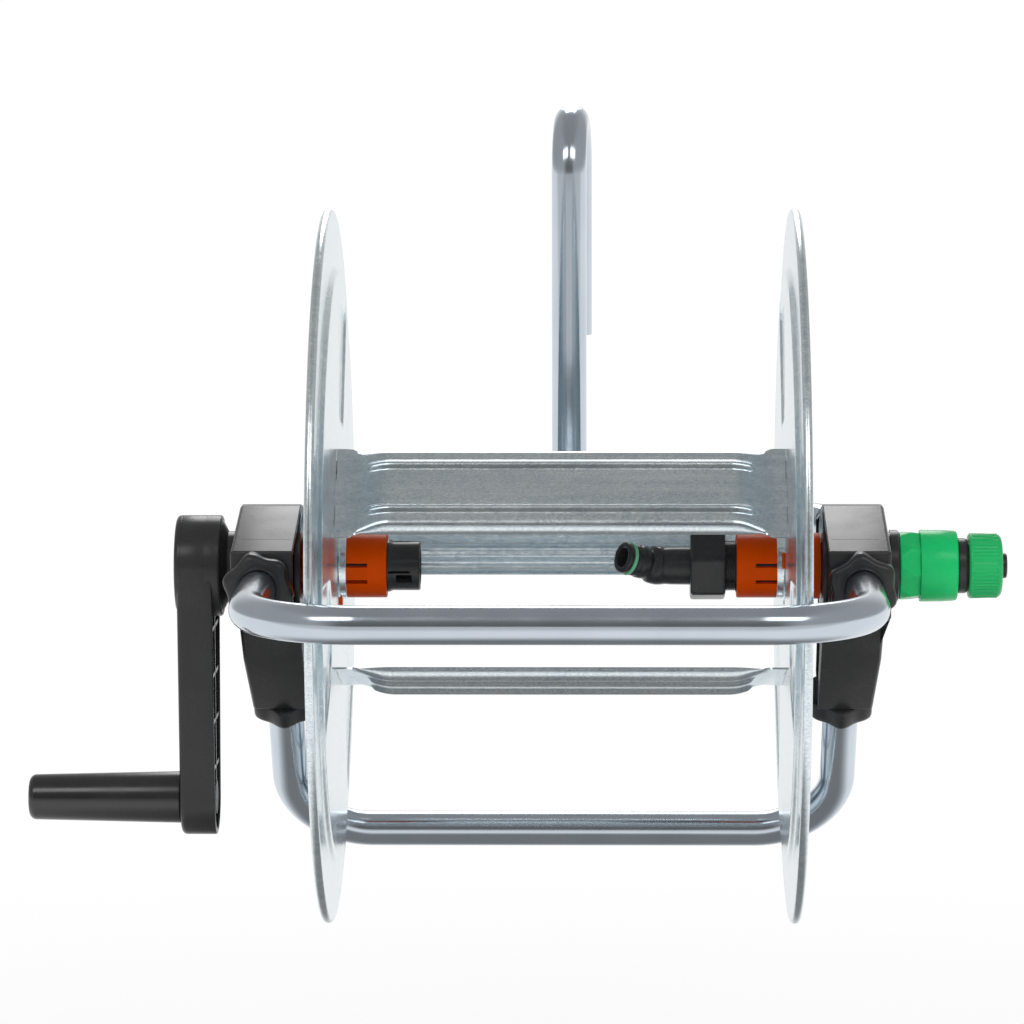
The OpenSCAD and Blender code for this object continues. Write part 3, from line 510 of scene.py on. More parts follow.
def u_path(reach, angle, leg, bend):
    """A U whose legs point at an angle from the wall side, turned about the axle."""
    run = reach - bend
    quarter = math.pi / 2
    plane = ((1, 0, 0), (0, 1, 0), bend)
    flat = straight((leg, TUBE_STOP, 0), (leg, run, 0), 6)
    flat += arc_path((leg - bend, run, 0), *plane, 0, quarter, BEND_STEPS)[1:]
    flat += straight((leg - bend, reach, 0), (bend - leg, reach, 0), 12)[1:]
    flat += arc_path((bend - leg, run, 0), *plane, quarter, 2 * quarter, BEND_STEPS)[1:]
    flat += straight((-leg, run, 0), (-leg, TUBE_STOP, 0), 6)[1:]
    return [(x, *turn_x(y, z, angle)) for x, y, z in flat]


def hook_path():
    """Up from the rear tube, over toward the wall and down the free leg."""
    top = Vector((0, 0, HOOK_TOP))
    tip = HOOK_FOOT + HOOK_WAY * HOOK_PITCH
    crown = HOOK_FOOT + HOOK_WAY * HOOK_PITCH / 2 + top
    path = straight(HOOK_FOOT + Vector((0, 0, WELD_SINK)), HOOK_FOOT + top, 12)
    path += arc_path(crown, HOOK_WAY, (0, 0, 1), HOOK_PITCH / 2, math.pi, 0, HOOK_STEPS)[1:]
    return path + straight(tip + top, tip + top - Vector((0, 0, PIN_LEN)), 6)[1:]


for label, reach, angle, leg, bend in (
        ("front_tube", FRONT_REACH, math.pi, LEG_X, BEND_R),
        ("rear_tube", REAR_REACH, 0.0, LEG_X, BEND_R),
        ("lower_tube", LOWER_REACH, LOWER_TILT - math.pi / 2, LOW_LEG_X, LOW_BEND_R)):
    path = u_path(reach, angle, leg, bend)
    tube(path, TUBE_R).cover(label, "frame", "galvanised_tube", smooth_angle=50.0)
tube(hook_path(), HOOK_TUBE_R).cover("hook_tube", "frame", "galvanised_tube", smooth_angle=50.0)

# STAVES

STAVE_R, STAVE_TURN = 56.8, 132.6
STAVE_HALF, STAVE_END, SHOULDER, RISE = 112.7, 6.5, 7.0, 26.0
FLAT_FROM = STAVE_HALF - STAVE_END
STAVE_W, CHANNEL_W, CHANNEL_CORNER, CHANNEL_WALL, CROWN = 57.6, 51.0, 5.0, 5.5, 5.0
BEAD_AT, BEAD_HALF, BEAD_H, BEAD_END = 14.2, 3.3, 1.9, 94.5
SHEET = 1.0
STAVE_POINTS, FINE_STEP, COARSE_STEP = 97, 0.8, 4.0
TAB_AT, TAB_HALF = 15.0, 6.0
TAB_START, TAB_BEND, TAB_OUT, TAB_H = 112.2, 115.0, 115.7, 5.6
TAB = [(TAB_START, -0.5), (TAB_BEND, -0.5), (TAB_OUT, 0.2), (TAB_OUT, TAB_H), (TAB_OUT - 0.95, TAB_H),
       (TAB_OUT - 0.95, 1.0), (TAB_BEND - 0.7, 0.5), (TAB_START, 0.5)]


def channel_point(t):
    """Outer face of the channel at a share t of half its developed width: place across, height, way out."""
    flat = CHANNEL_W / 2 - CHANNEL_CORNER
    corner = math.pi / 2 * CHANNEL_CORNER
    wall = CHANNEL_WALL - CHANNEL_CORNER + SHEET / 2
    run = abs(t) * (flat + corner + wall)
    side = 1 if t >= 0 else -1
    if run <= flat:
        return side * run, CROWN, (0.0, 1.0)
    if run <= flat + corner:
        a = (run - flat) / CHANNEL_CORNER
        return (side * (flat + CHANNEL_CORNER * math.sin(a)), CROWN - CHANNEL_CORNER * (1 - math.cos(a)),
                (side * math.sin(a), math.cos(a)))
    return side * CHANNEL_W / 2, CROWN - CHANNEL_CORNER - (run - flat - corner), (side * 1.0, 0.0)


def stave_places():
    """Places along the axle, close together where the channel rises out of the flat end."""
    places, x = [], -STAVE_HALF
    while x < STAVE_HALF - 1e-6:
        places.append(x)
        rising = FLAT_FROM - RISE - 2 < abs(x + FINE_STEP / 2) < FLAT_FROM + 1
        x += FINE_STEP if rising else COARSE_STEP
    return places + [STAVE_HALF]


def stave_point(x, t, skin, angle):
    """A point at a place along the axle and a share t across, lifted off the sheet's middle by skin."""
    k = smoothstep((FLAT_FROM - abs(x)) / SHOULDER)
    rise = ease((FLAT_FROM + 3 - abs(x)) / RISE)
    past = max(abs(x) - BEAD_END, 0.0)
    across, height, (nx, nh) = channel_point(t)
    flat = t * STAVE_W / 2
    q, h = flat + (across - flat) * k, height * rise
    nx, nh = nx * k, nh * k + (1 - k)
    size = math.hypot(nx, nh)
    bead = 0.0
    for spot in (-BEAD_AT, BEAD_AT):
        d = math.hypot(q - spot, past) / BEAD_HALF
        if d < 1:
            bead = max(bead, math.cos(d * math.pi / 2) ** 1.3)
    lift = skin + BEAD_H * bead
    q, h = q + nx / size * lift, h + nh / size * lift
    return (x, *turn_x(STAVE_R + h, q, angle))


def stave_shape(index):
    """A pressed stave: flat ends, a raised channel with two beads, and two folded tabs at each end."""
    angle = math.radians(STAVE_TURN + 120 * index)
    shares = [2 * i / (STAVE_POINTS - 1) - 1 for i in range(STAVE_POINTS)]
    outer, inner = ([[stave_point(x, t, skin, angle) for t in shares] for x in stave_places()]
                    for skin in (SHEET / 2, -SHEET / 2))
    shape = Shape().sheet(outer, inner)
    for end in (-1, 1):
        for spot in (-TAB_AT, TAB_AT):
            shape.loft([[(end * x, *turn_x(STAVE_R + h, spot + side, angle)) for x, h in TAB]
                        for side in (-TAB_HALF, TAB_HALF)])
    return shape


for index, node in enumerate(("upper_stave", "lower_stave", "rear_stave")):
    stave_shape(index).cover(node, "drum", "galvanised_sheet", smooth_angle=32.0)

# DISCS

HUB_FACE, DISH, CURL_R, CURL_STEPS = 112.8, 2.6, 2.3, 24
STEP_IN, STEP_OUT = 147.6, 152.4
PANEL_IN, PANEL_OUT, PANEL_W, PANEL_LIFT, PANEL_CORNER, PANEL_SLOPE = 73.0, 143.0, 86.0, 1.6, 9.0, 4.5
WEB_START, WEB_TURNS = 18.4, 720
COLLAR_IN, COLLAR_OUT, COLLAR_END, COLLAR_FOOT = 15.8, 16.8, 108.8, 20.0


def panel_lift(r, angle):
    """How far the web stands out at a point, for three pressed panels between the staves."""
    turn = (angle - math.radians(STAVE_TURN - 60) + math.pi / 3) % (2 * math.pi / 3) - math.pi / 3
    u, w = r * math.cos(turn), abs(r * math.sin(turn))
    slope = PANEL_W / 2 / PANEL_OUT
    along = min(u - PANEL_IN, PANEL_OUT - u)
    aside = (slope * u - w) / math.hypot(1, slope)
    deep = PANEL_CORNER - math.hypot(max(PANEL_CORNER - along, 0), max(PANEL_CORNER - aside, 0))
    if along > PANEL_CORNER and aside > PANEL_CORNER:
        deep = min(along, aside)
    return PANEL_LIFT * smoothstep(deep / PANEL_SLOPE)


def web_radii():
    """Radii of the web's rings, one in each millimetre over the panels and the step."""
    return [WEB_START, 40.0, 68.0, *range(70, 154), 160.0, 170.0, DISC_R - CURL_R]


def disc_shape():
    """Right-hand disc: a pressed web of sheet, a curled rim and a drawn collar."""
    shape = Shape()
    inner, outer = [], []
    third = WEB_TURNS // 3
    for r in web_radii():
        dish = DISH * smoothstep((r - STEP_IN) / (STEP_OUT - STEP_IN))
        pressed = PANEL_IN - 3 < r < PANEL_OUT + 3
        lifts = [panel_lift(r, 2 * math.pi * k / WEB_TURNS) if pressed else 0.0 for k in range(third)]
        ring = circle(r, WEB_TURNS)
        for rings, x in ((inner, HUB_FACE + dish), (outer, HUB_FACE + SHEET + dish)):
            rings.append([(x + lifts[k % third], *ring[k]) for k in range(WEB_TURNS)])
    shape.loft(inner + outer[::-1], ring=True)
    shape.lathe(circle(CURL_R, CURL_STEPS, (DISC_R - CURL_R, HUB_FACE + DISH + CURL_R - 0.1)), 360)
    collar = [(COLLAR_IN, COLLAR_END), (COLLAR_OUT, COLLAR_END), (COLLAR_OUT, HUB_FACE),
              (COLLAR_FOOT, HUB_FACE), (COLLAR_FOOT, HUB_FACE + SHEET), (COLLAR_IN, HUB_FACE + SHEET)]
    return shape.lathe(fillet(collar, [0.2, 0.4, 1.2, 0, 0, 2.4]), 144)


disc_shape().cover("right_disc", "drum", "galvanised_sheet", smooth_angle=40.0)
disc_shape().moved(mirrored).cover("left_disc", "drum", "galvanised_sheet", smooth_angle=40.0)

# HUB BLOCKS

BLOCK_IN, BLOCK_OPEN, BLOCK_OUT, BLOCK_WALL = 131.5, 132.1, 163.0, 3.0
ARM_LEN, ARM_END_H, LOW_ARM_LEN, LOW_END_H = 72.0, 17.0, 90.0, 14.5
RIDGE_H, RIDGE_FLAT, ROOT_S, ROOT_W, BELLY_S = 31.0, 4.0, 45.0, 21.0, 12.0
BLOCK_CORNERS = [1.6, 8.0, 0, 1.6, 1.6, 5.0, 1.6, 1.6, 3.0, 3.0, 1.6]
LOW_TAPER, SOCKET_R, SOCKET_BORE_R, RIB_T = 2.4, 12.25, TUBE_R + 0.1, 2.0
RIB_ANGLES = (20, 52, 90, 128, 160, 200, 228, 252, 340)
JOURNAL_R, BEARING_R, FLANGE_R = 14.05, 18.5, 30.0

# Each pair of arms: its angle from the wall side, its length, its tube's legs, its two nuts' turns
ARMS = {"front": (math.pi, ARM_LEN, LEG_X, (5.0, -15.0)),
        "rear": (0.0, ARM_LEN, LEG_X, (0.0, 10.0)),
        "lower": (LOWER_TILT - math.pi / 2, LOW_ARM_LEN, LOW_LEG_X, (0.0, 0.0))}


def low_point(s, w):
    """A point at a length down the lower arm and a distance to its wall side, in Y and Z."""
    return (s * math.sin(LOWER_TILT) + w * math.cos(LOWER_TILT),
            -s * math.cos(LOWER_TILT) + w * math.sin(LOWER_TILT))


def block_outline():
    belly = RIDGE_H - 0.5
    share = (ROOT_S - BELLY_S) / (LOW_ARM_LEN - BELLY_S)
    corners = [(-ARM_LEN, -ARM_END_H), low_point(BELLY_S, -belly),
               low_point(ROOT_S, -belly + (belly - LOW_END_H) * share), low_point(LOW_ARM_LEN, -LOW_END_H),
               low_point(LOW_ARM_LEN, LOW_END_H), low_point(ROOT_S, ROOT_W), (ARM_LEN, -ARM_END_H),
               (ARM_LEN, ARM_END_H), (RIDGE_FLAT, RIDGE_H), (-RIDGE_FLAT, RIDGE_H), (-ARM_LEN, ARM_END_H)]
    return fillet(corners, BLOCK_CORNERS)


def taper(y, z):
    """How far the lower arm's outer face has drawn in at a point."""
    s = y * math.sin(LOWER_TILT) - z * math.cos(LOWER_TILT)
    return LOW_TAPER * max(0.0, s - ROOT_S) / (LOW_ARM_LEN - ROOT_S)


def ray_length(outline, angle):
    """How far a ray from the axle runs before it leaves an outline."""
    way = Vector((math.cos(angle), math.sin(angle)))
    best = 0.0
    for i, spot in enumerate(outline):
        a, b = Vector(spot), Vector(outline[(i + 1) % len(outline)])
        side = b - a
        cross = way.x * side.y - way.y * side.x
        if abs(cross) < 1e-9:
            continue
        far = (a.x * side.y - a.y * side.x) / cross
        near = (a.x * way.y - a.y * way.x) / cross
        if far > 0 and -1e-6 <= near <= 1 + 1e-6:
            best = max(best, far)
    return best


def arm_frame(angle, leg):
    """Moves a piece made along +Z at the origin to a tube leg."""
    def change(x, y, z):
        back, up = turn_x(z, -y, angle)
        return x + leg, back, up
    return change


def rod(radius, bore, start, end, steps=64):
    """A hollow rod along +Z."""
    loops = [(radius, start), (radius, end), (bore, end), (bore, start)]
    return Shape().loft([[(*p, z) for p in circle(r, steps)] for r, z in loops], ring=True)


def block_shape():
    """Right-hand hub block: a moulding that is open toward the drum, with ribs, a bearing and sockets."""
    outline = block_outline()
    floor = shrink(outline, BLOCK_WALL)
    sections = [(BLOCK_OUT - BLOCK_WALL, floor), (BLOCK_OPEN + 0.5, floor),
                (BLOCK_OPEN, shrink(outline, BLOCK_WALL - 0.5)), (BLOCK_OPEN, shrink(outline, 0.5)),
                (BLOCK_OPEN + 0.5, outline)]
    sections += round_edge(outline, BLOCK_OUT, 1.8, 1)
    near = BLOCK_OUT - BLOCK_WALL - 1
    shape = Shape().across(sections).moved(lambda x, y, z: (x - (taper(y, z) if x > near else 0.0), y, z))
    rib_start, rib_end = BLOCK_OPEN + RIB_T, BLOCK_OUT - 2.5 - LOW_TAPER
    for degrees in RIB_ANGLES:
        angle = math.radians(degrees)
        far = ray_length(outline, angle) - 1.5
        shape.box((rib_start, BEARING_R - 1, -RIB_T / 2), (rib_end, far, RIB_T / 2), angle)
    bearing = [(JOURNAL_R, BLOCK_IN), (FLANGE_R, BLOCK_IN), (FLANGE_R, rib_start), (BEARING_R, rib_start),
               (BEARING_R, BLOCK_OUT - 1), (JOURNAL_R, BLOCK_OUT - 1)]
    shape.lathe(fillet(bearing, [0.5, 0.4, 0, 0, 0, 0], 3))
    for angle, length, leg, _ in ARMS.values():
        socket = rod(SOCKET_R, SOCKET_BORE_R, TUBE_STOP - BLOCK_WALL, length - 0.4)
        shape.join(socket.moved(arm_frame(angle, leg)))
        neck = rod(SOCKET_R + 0.5, SOCKET_BORE_R, length - 1, length + 7)
        shape.join(neck.moved(arm_frame(angle, leg)))
    return shape


block_shape().cover("right_block", "frame", "black_plastic", smooth_angle=30.0)
block_shape().moved(mirrored).cover("left_block", "frame", "black_plastic", smooth_angle=30.0)

# CLAMP NUTS

NUT_R, NUT_LEN, NUT_LOBES, LOBE_DEPTH, NUT_SIDES = 17.75, 13.0, 6, 2.4, 144
NUT_START, NUT_BORE_R = 0.02, TUBE_R + 0.4

# Rows of a nut: the place along it, how far it is drawn in, and the share of the hollows' depth
NUT_ROWS = [(NUT_START, 1.2, 1.0), (0.5, 0.4, 1.0), (1.2, 0.0, 1.0), (NUT_LEN - 3.4, 0.0, 1.0),
            (NUT_LEN - 2.0, 0.35, 0.97), (NUT_LEN - 1.0, 1.1, 0.9), (NUT_LEN - 0.35, 2.2, 0.75),
            (NUT_LEN, 3.8, 0.5)]


def lobed(cut, depth):
    """One ring of a lobed nut: hollows of a depth, all of it drawn in by a cut."""
    ring = []
    for k in range(NUT_SIDES):
        a = 2 * math.pi * k / NUT_SIDES
        hollow = (0.5 + 0.5 * math.cos(NUT_LOBES * a)) ** 0.85
        r = NUT_R - cut - depth * hollow
        ring.append((r * math.cos(a), r * math.sin(a)))
    return ring


def nut_shape():
    """A clamp nut along +Z."""
    loops = [[(*p, z) for p in lobed(cut, LOBE_DEPTH * share)] for z, cut, share in NUT_ROWS]
    for z, r in ((NUT_LEN, NUT_BORE_R + 0.8), (NUT_LEN - 0.5, NUT_BORE_R), (NUT_START, NUT_BORE_R)):
        loops.append([(*p, z) for p in circle(r, NUT_SIDES)])
    return Shape().loft(loops, ring=True)


for label, (angle, length, leg, turns) in ARMS.items():
    pair = Shape()
    for side, degrees in enumerate(turns):
        c, s = math.cos(math.radians(degrees)), math.sin(math.radians(degrees))
        nut = nut_shape().moved(lambda x, y, z: (x * c - y * s, x * s + y * c, z + length))
        nut.moved(arm_frame(angle, leg))
        pair.join(nut.moved(mirrored) if side else nut)
    pair.cover(label + "_clamp_nuts", "frame", "black_plastic", smooth_angle=50.0)

# CRANK

CRANK_LEN, CRANK_HUB_R, CRANK_END_R = 119.6, 25.7, 19.0
CRANK_IN, ARM_IN, CRANK_FACE, HUB_RISE, HUB_DROP = 172.0, 176.0, 194.0, 1.3, 21.0
CRANK_SEAT, CRANK_BOSS_R, CRANK_WALL, CRANK_RIBS = 163.3, 17.5, 3.0, 5
RECESS_R, RECESS_DEPTH = 7.4, 3.9
PIN_BOSS_IN, PIN_BOSS_OUT = 5.2, 9.0
GRIP_R, GRIP_END_R, GRIP_START, GRIP_END = 13.25, 11.5, 194.3, 272.4
PIN_R, PIN_HEAD_R, PIN_HEAD_START, PIN_HEAD_END = 5.05, 6.5, 255.35, 262.4


def arc(radius, start, turn, steps, z=0.0):
    """An arc in Y and Z round a spot on the line down from the axle."""
    turns = [start + turn * k / steps for k in range(steps + 1)]
    return [(radius * math.cos(t), z + radius * math.sin(t)) for t in turns]


def between(a, b, steps=10):
    """Points on a straight side, without its ends."""
    return [tuple(Vector(a).lerp(Vector(b), k / steps)) for k in range(1, steps)]


def crank_outline():
    """Round two circles on a line down from the axle."""
    lean = math.asin((CRANK_HUB_R - CRANK_END_R) / CRANK_LEN)
    top = arc(CRANK_HUB_R, lean, math.pi - 2 * lean, 40)
    low = arc(CRANK_END_R, math.pi - lean, math.pi + 2 * lean, 40, -CRANK_LEN)
    return top + between(top[-1], low[0]) + low + between(low[-1], top[0])


def hub_outline():
    """The hub's circle, cut off below."""
    low = math.asin(HUB_DROP / CRANK_HUB_R)
    return arc(CRANK_HUB_R, -low, math.pi + 2 * low, 60)


def crank_shape():
    """Crank arm: a moulding that is open toward the block, with a raised hub and a recess for the screw."""
    outline, hub = crank_outline(), hub_outline()
    floor = shrink(outline, CRANK_WALL)
    recess = same_turns(outline, RECESS_R)
    sections = [(CRANK_FACE - CRANK_WALL, floor), (ARM_IN + 0.6, floor),
                (ARM_IN, shrink(outline, CRANK_WALL - 0.7)), (ARM_IN, shrink(outline, 0.9)),
                (ARM_IN + 0.25, shrink(outline, 0.25)), (ARM_IN + 0.9, outline)]
    sections += round_edge(outline, CRANK_FACE, 2.6, 1)
    sections += [(CRANK_FACE, recess), (CRANK_FACE - RECESS_DEPTH, recess)]
    shape = Shape().across(sections)

    top = CRANK_FACE + HUB_RISE
    recess = same_turns(hub, RECESS_R)
    sections = [(CRANK_FACE - 2, hub), *round_edge(hub, top, 2.4, 1)]
    sections += [(top, same_turns(hub, RECESS_R + 0.5)), (top - 0.5, recess), (CRANK_FACE - 1, recess)]
    shape.across(sections, start=False, end=False)

    wall = CRANK_HUB_R - CRANK_WALL
    skirt = [(wall, CRANK_IN), (CRANK_HUB_R, CRANK_IN), (CRANK_HUB_R, CRANK_IN + 8), (wall, CRANK_IN + 8)]
    shape.lathe(fillet(skirt, [0.5, 1.4, 0, 0]), 128)
    boss = [(JOURNAL_R, CRANK_SEAT), (CRANK_BOSS_R, CRANK_SEAT), (CRANK_BOSS_R, CRANK_IN - 3),
            (wall + 0.6, CRANK_IN), (wall + 0.6, CRANK_IN + 3), (CRANK_BOSS_R, CRANK_IN + 6),
            (CRANK_BOSS_R, CRANK_FACE - 2), (JOURNAL_R, CRANK_FACE - 2)]
    shape.lathe(fillet(boss, [0.3, 0.6, 1, 1, 0, 0, 0, 0]))
    pin_boss = [(PIN_BOSS_IN, ARM_IN + 2), (PIN_BOSS_OUT - 0.4, ARM_IN + 2), (PIN_BOSS_OUT, ARM_IN + 2.4),
                (PIN_BOSS_OUT, CRANK_FACE - 2), (PIN_BOSS_IN, CRANK_FACE - 2)]
    shape.lathe(pin_boss, 64, (0.0, -CRANK_LEN))

    shape.box((ARM_IN + 0.6, -1, -CRANK_LEN + 8), (CRANK_FACE - 2, 1, -16))
    for k in range(1, CRANK_RIBS):
        z = -k * CRANK_LEN / CRANK_RIBS - 8
        half = CRANK_HUB_R + (CRANK_END_R - CRANK_HUB_R) * -z / CRANK_LEN - 1.5
        shape.box((ARM_IN + 0.6, -half, z), (CRANK_FACE - 2, half, z + RIB_T))
    return shape.moved(mirrored)


def grip_shape():
    """Grip: tapered, with a closed end and a pocket for the pin's head."""
    profile = [(PIN_R, GRIP_START), (GRIP_R, GRIP_START), (GRIP_END_R, GRIP_END), (0.01, GRIP_END),
               (0.01, PIN_HEAD_END), (PIN_HEAD_R, PIN_HEAD_END), (PIN_HEAD_R, PIN_HEAD_START),
               (PIN_R, PIN_HEAD_START)]
    rounded = fillet(profile, [0, 0.9, 3.6, 0, 0, 0, 0, 0], 8)
    return Shape().lathe(rounded, 128, (0.0, -CRANK_LEN)).moved(mirrored)


crank_shape().cover("crank_arm", "drum", "black_plastic", smooth_angle=32.0)
grip_shape().cover("grip", "grip", "grip_plastic", smooth_angle=40.0)

# HOSE OUTLET

UNION_AF, UNION_START, UNION_END = 32.4, 65.1, 82.9
UNION_TURN, UNION_BORE_R, UNION_THREAD_R = math.radians(14), 9.9, 12.5
THREAD_CORE_R, THREAD_LOW_R, THREAD_TOP_R, THREAD_PITCH, THREAD_RIDGES = 11.2, 12.25, 12.95, 0.9, 7
SPIGOT_LEN, BORE_R, ELBOW_SIDES = 21.0, 5.0, 64
ELBOW_X, ELBOW_R, ELBOW_BEND_R, FLARE_R = 48.1, 9.7, 12.0, 11.8
ELBOW_BEND, ELBOW_TURN = math.radians(33.7), math.radians(29.6)
ELBOW_START = UNION_START + 7.3
ELBOW_REACH = ELBOW_BEND_R * math.tan(ELBOW_BEND / 2)
ELBOW_CURVE = ELBOW_BEND_R * ELBOW_BEND
ELBOW_RUN = ELBOW_START - (ELBOW_X + ELBOW_REACH)

# The spigot's steps and groove: the length from the bend's corner and the radius
SPIGOT = [(4.1, ELBOW_R - 0.9), (4.7, 8.1), (5.2, 7.3), (5.6, 7.1), (6.6, 7.1), (7.1, 7.6), (7.7, 8.3),
          (8.3, 8.4), (10.9, 8.4), (11.4, 8.3), (11.9, 7.95), (12.4, 7.95), (15.3, 7.95), (15.5, 7.8),
          (15.5, 6.4), (18.1, 6.4), (18.1, 7.8), (18.3, 7.95), (20.0, 7.95), (20.5, 7.8), (20.85, 7.45),
          (SPIGOT_LEN, 7.0), (SPIGOT_LEN, 5.5), (SPIGOT_LEN - 0.4, BORE_R)]


def union_shape():
    """Union nut: a rounded hexagon with a wide bore toward the thread."""
    corner = UNION_AF / 2 / math.cos(math.pi / 6)
    turns = [UNION_TURN - math.pi / 2 + k * math.pi / 3 for k in range(6)]
    hexagon = fillet([(corner * math.cos(t), corner * math.sin(t)) for t in turns], 2.6, 8)
    bore, wide = same_turns(hexagon, UNION_BORE_R), same_turns(hexagon, UNION_THREAD_R)
    sections = [(UNION_START, bore), (UNION_START, shrink(hexagon, 1.9))]
    sections += round_edge(hexagon, UNION_START, 1.7, -1)[-2::-1]
    sections += round_edge(hexagon, UNION_END, 1.7, 1)
    sections += [(UNION_END, wide), (UNION_START + 5, wide), (UNION_START + 5, bore)]
    return Shape().across(sections, ring=True)


def thread_shape():
    """The ridges of the thread that the union nut leaves in sight."""
    profile = [(THREAD_CORE_R, UNION_END - 1)]
    for k in range(THREAD_RIDGES):
        x = UNION_END + k * THREAD_PITCH
        profile += [(THREAD_LOW_R, x - 0.6), (THREAD_TOP_R, x - 0.3), (THREAD_LOW_R, x)]
    return Shape().lathe(profile + [(THREAD_CORE_R, UNION_END + 6)])


def elbow_station(s):
    """Middle and lean of the elbow's section at a length from its wide end in the nut."""
    if s <= ELBOW_RUN:
        return ELBOW_START - s, 0.0, 0.0
    if s <= ELBOW_RUN + ELBOW_CURVE:
        t = (s - ELBOW_RUN) / ELBOW_BEND_R
        return ELBOW_X + ELBOW_REACH - ELBOW_BEND_R * math.sin(t), -ELBOW_BEND_R * (1 - math.cos(t)), t
    far = s - ELBOW_RUN - ELBOW_CURVE + ELBOW_REACH
    return ELBOW_X - far * math.cos(ELBOW_BEND), -far * math.sin(ELBOW_BEND), ELBOW_BEND


def elbow_shape():
    """Outlet elbow: a flare in the nut, the bend and the spigot, with one bore."""
    run, curve = ELBOW_RUN, ELBOW_CURVE
    tail = run + curve - ELBOW_REACH
    outer = [(0.0, FLARE_R), (3.0, FLARE_R), (3.1, ELBOW_R), (run - 3.5, ELBOW_R - 0.15),
             (run - 1.0, ELBOW_R - 0.35)]
    outer += [(run + curve * k / 10, ELBOW_R - 0.3 + 0.45 * math.sin(math.pi * k / 10)) for k in range(11)]
    outer += [(tail + d, r) for d, r in SPIGOT]
    inner = [(tail + 4, BORE_R)] + [(run + curve * k / 4, BORE_R) for k in (4, 3, 2, 1, 0)] + [(0.0, BORE_R)]
    loops = []
    for s, r in outer + inner:
        x, y, t = elbow_station(s)
        loops.append([(x - side * math.sin(t), *turn_x(y + side * math.cos(t), up, -ELBOW_TURN))
                      for side, up in circle(r, ELBOW_SIDES)])
    return Shape().loft(loops, ring=True)


union_shape().cover("union_nut", "drum", "black_plastic", smooth_angle=38.0)
thread_shape().make("outlet_thread", "drum", "black_plastic", smooth_angle=20.0)
elbow_shape().cover("outlet_elbow", "drum", "black_plastic", smooth_angle=45.0)

# BUSH LUGS

LUG_HALF_X, LUG_HALF_W, LUG_FOOT = 1.2, 4.0, 15.0

for label, x, top, degrees in (
        ("right_bush_lug", 112.4, 18.3, 164.0),
        ("left_bush_lug", -112.4, 20.0, 263.0)):
    lug = Shape().box((x - LUG_HALF_X, LUG_FOOT, -LUG_HALF_W), (x + LUG_HALF_X, top, LUG_HALF_W),
                      math.radians(degrees))
    lug.make(label, "drum", "orange_plastic", smooth_angle=30.0)

# SUPPLY CONNECTOR

SLEEVE_START, SLEEVE_END, SLEEVE_R = 170.8, 200.2, 18.2
SLEEVE_CONE_END, SLEEVE_FLATS, SLEEVE_SIDES, FLATS_TURN = SLEEVE_START + 10.6, 8, 240, math.radians(14)
SLEEVE_BORE_R, SLEEVE_MOUTH_R, SLEEVE_FLOOR, NO_FLAT = 12.4, 15.0, SLEEVE_END - 10.95, 99.0
HOSE_NUT_START, HOSE_NUT_END, HOSE_NUT_R, HOSE_NUT_BORE_R = 205.8, 222.7, 16.5, 12.05
TAIL_HOLE_R, FACETS, FACET_STEPS, FACET_DEPTH, FACET_PEAK = 9.6, 26, 4, 0.85, 1.6


def off_middle(a, count, shift=0.0):
    """The turn from the middle of the nearest of a count of equal faces round a circle."""
    half = math.pi / count
    return (a + shift + half) % (2 * half) - half


def sleeve_shape():
    """Release sleeve: a cone with milled flats at the front, then a plain barrel."""
    rows = [(SLEEVE_START + x, r, NO_FLAT) for x, r in ((0.0, 16.4), (0.25, 16.95), (0.7, 17.15))]
    rows += [(SLEEVE_START + 0.8 + (SLEEVE_CONE_END - SLEEVE_START - 0.9) * k / 8, 17.15 + 0.95 * k / 8,
              17.1 - 1.3 * k / 8) for k in range(9)]
    rows += [(x, r, NO_FLAT) for x, r in (
        (SLEEVE_CONE_END, 18.1), (SLEEVE_CONE_END + 0.4, SLEEVE_R), (SLEEVE_END - 8, 18.1),
        (SLEEVE_END - 1.6, 17.75), (SLEEVE_END - 0.5, 17.4), (SLEEVE_END, 16.7),
        (SLEEVE_END, SLEEVE_MOUTH_R + 0.1), (SLEEVE_FLOOR, SLEEVE_MOUTH_R), (SLEEVE_FLOOR, SLEEVE_BORE_R),
        (SLEEVE_START + 0.6, SLEEVE_BORE_R), (SLEEVE_START, SLEEVE_BORE_R + 0.6))]
    sections = []
    for x, r, flat in rows:
        ring = []
        for k in range(SLEEVE_SIDES):
            a = 2 * math.pi * k / SLEEVE_SIDES
            q = min(r, flat / math.cos(off_middle(a, SLEEVE_FLATS, FLATS_TURN)))
            ring.append((q * math.cos(a), q * math.sin(a)))
        sections.append((x, ring))
    return Shape().across(sections, ring=True)


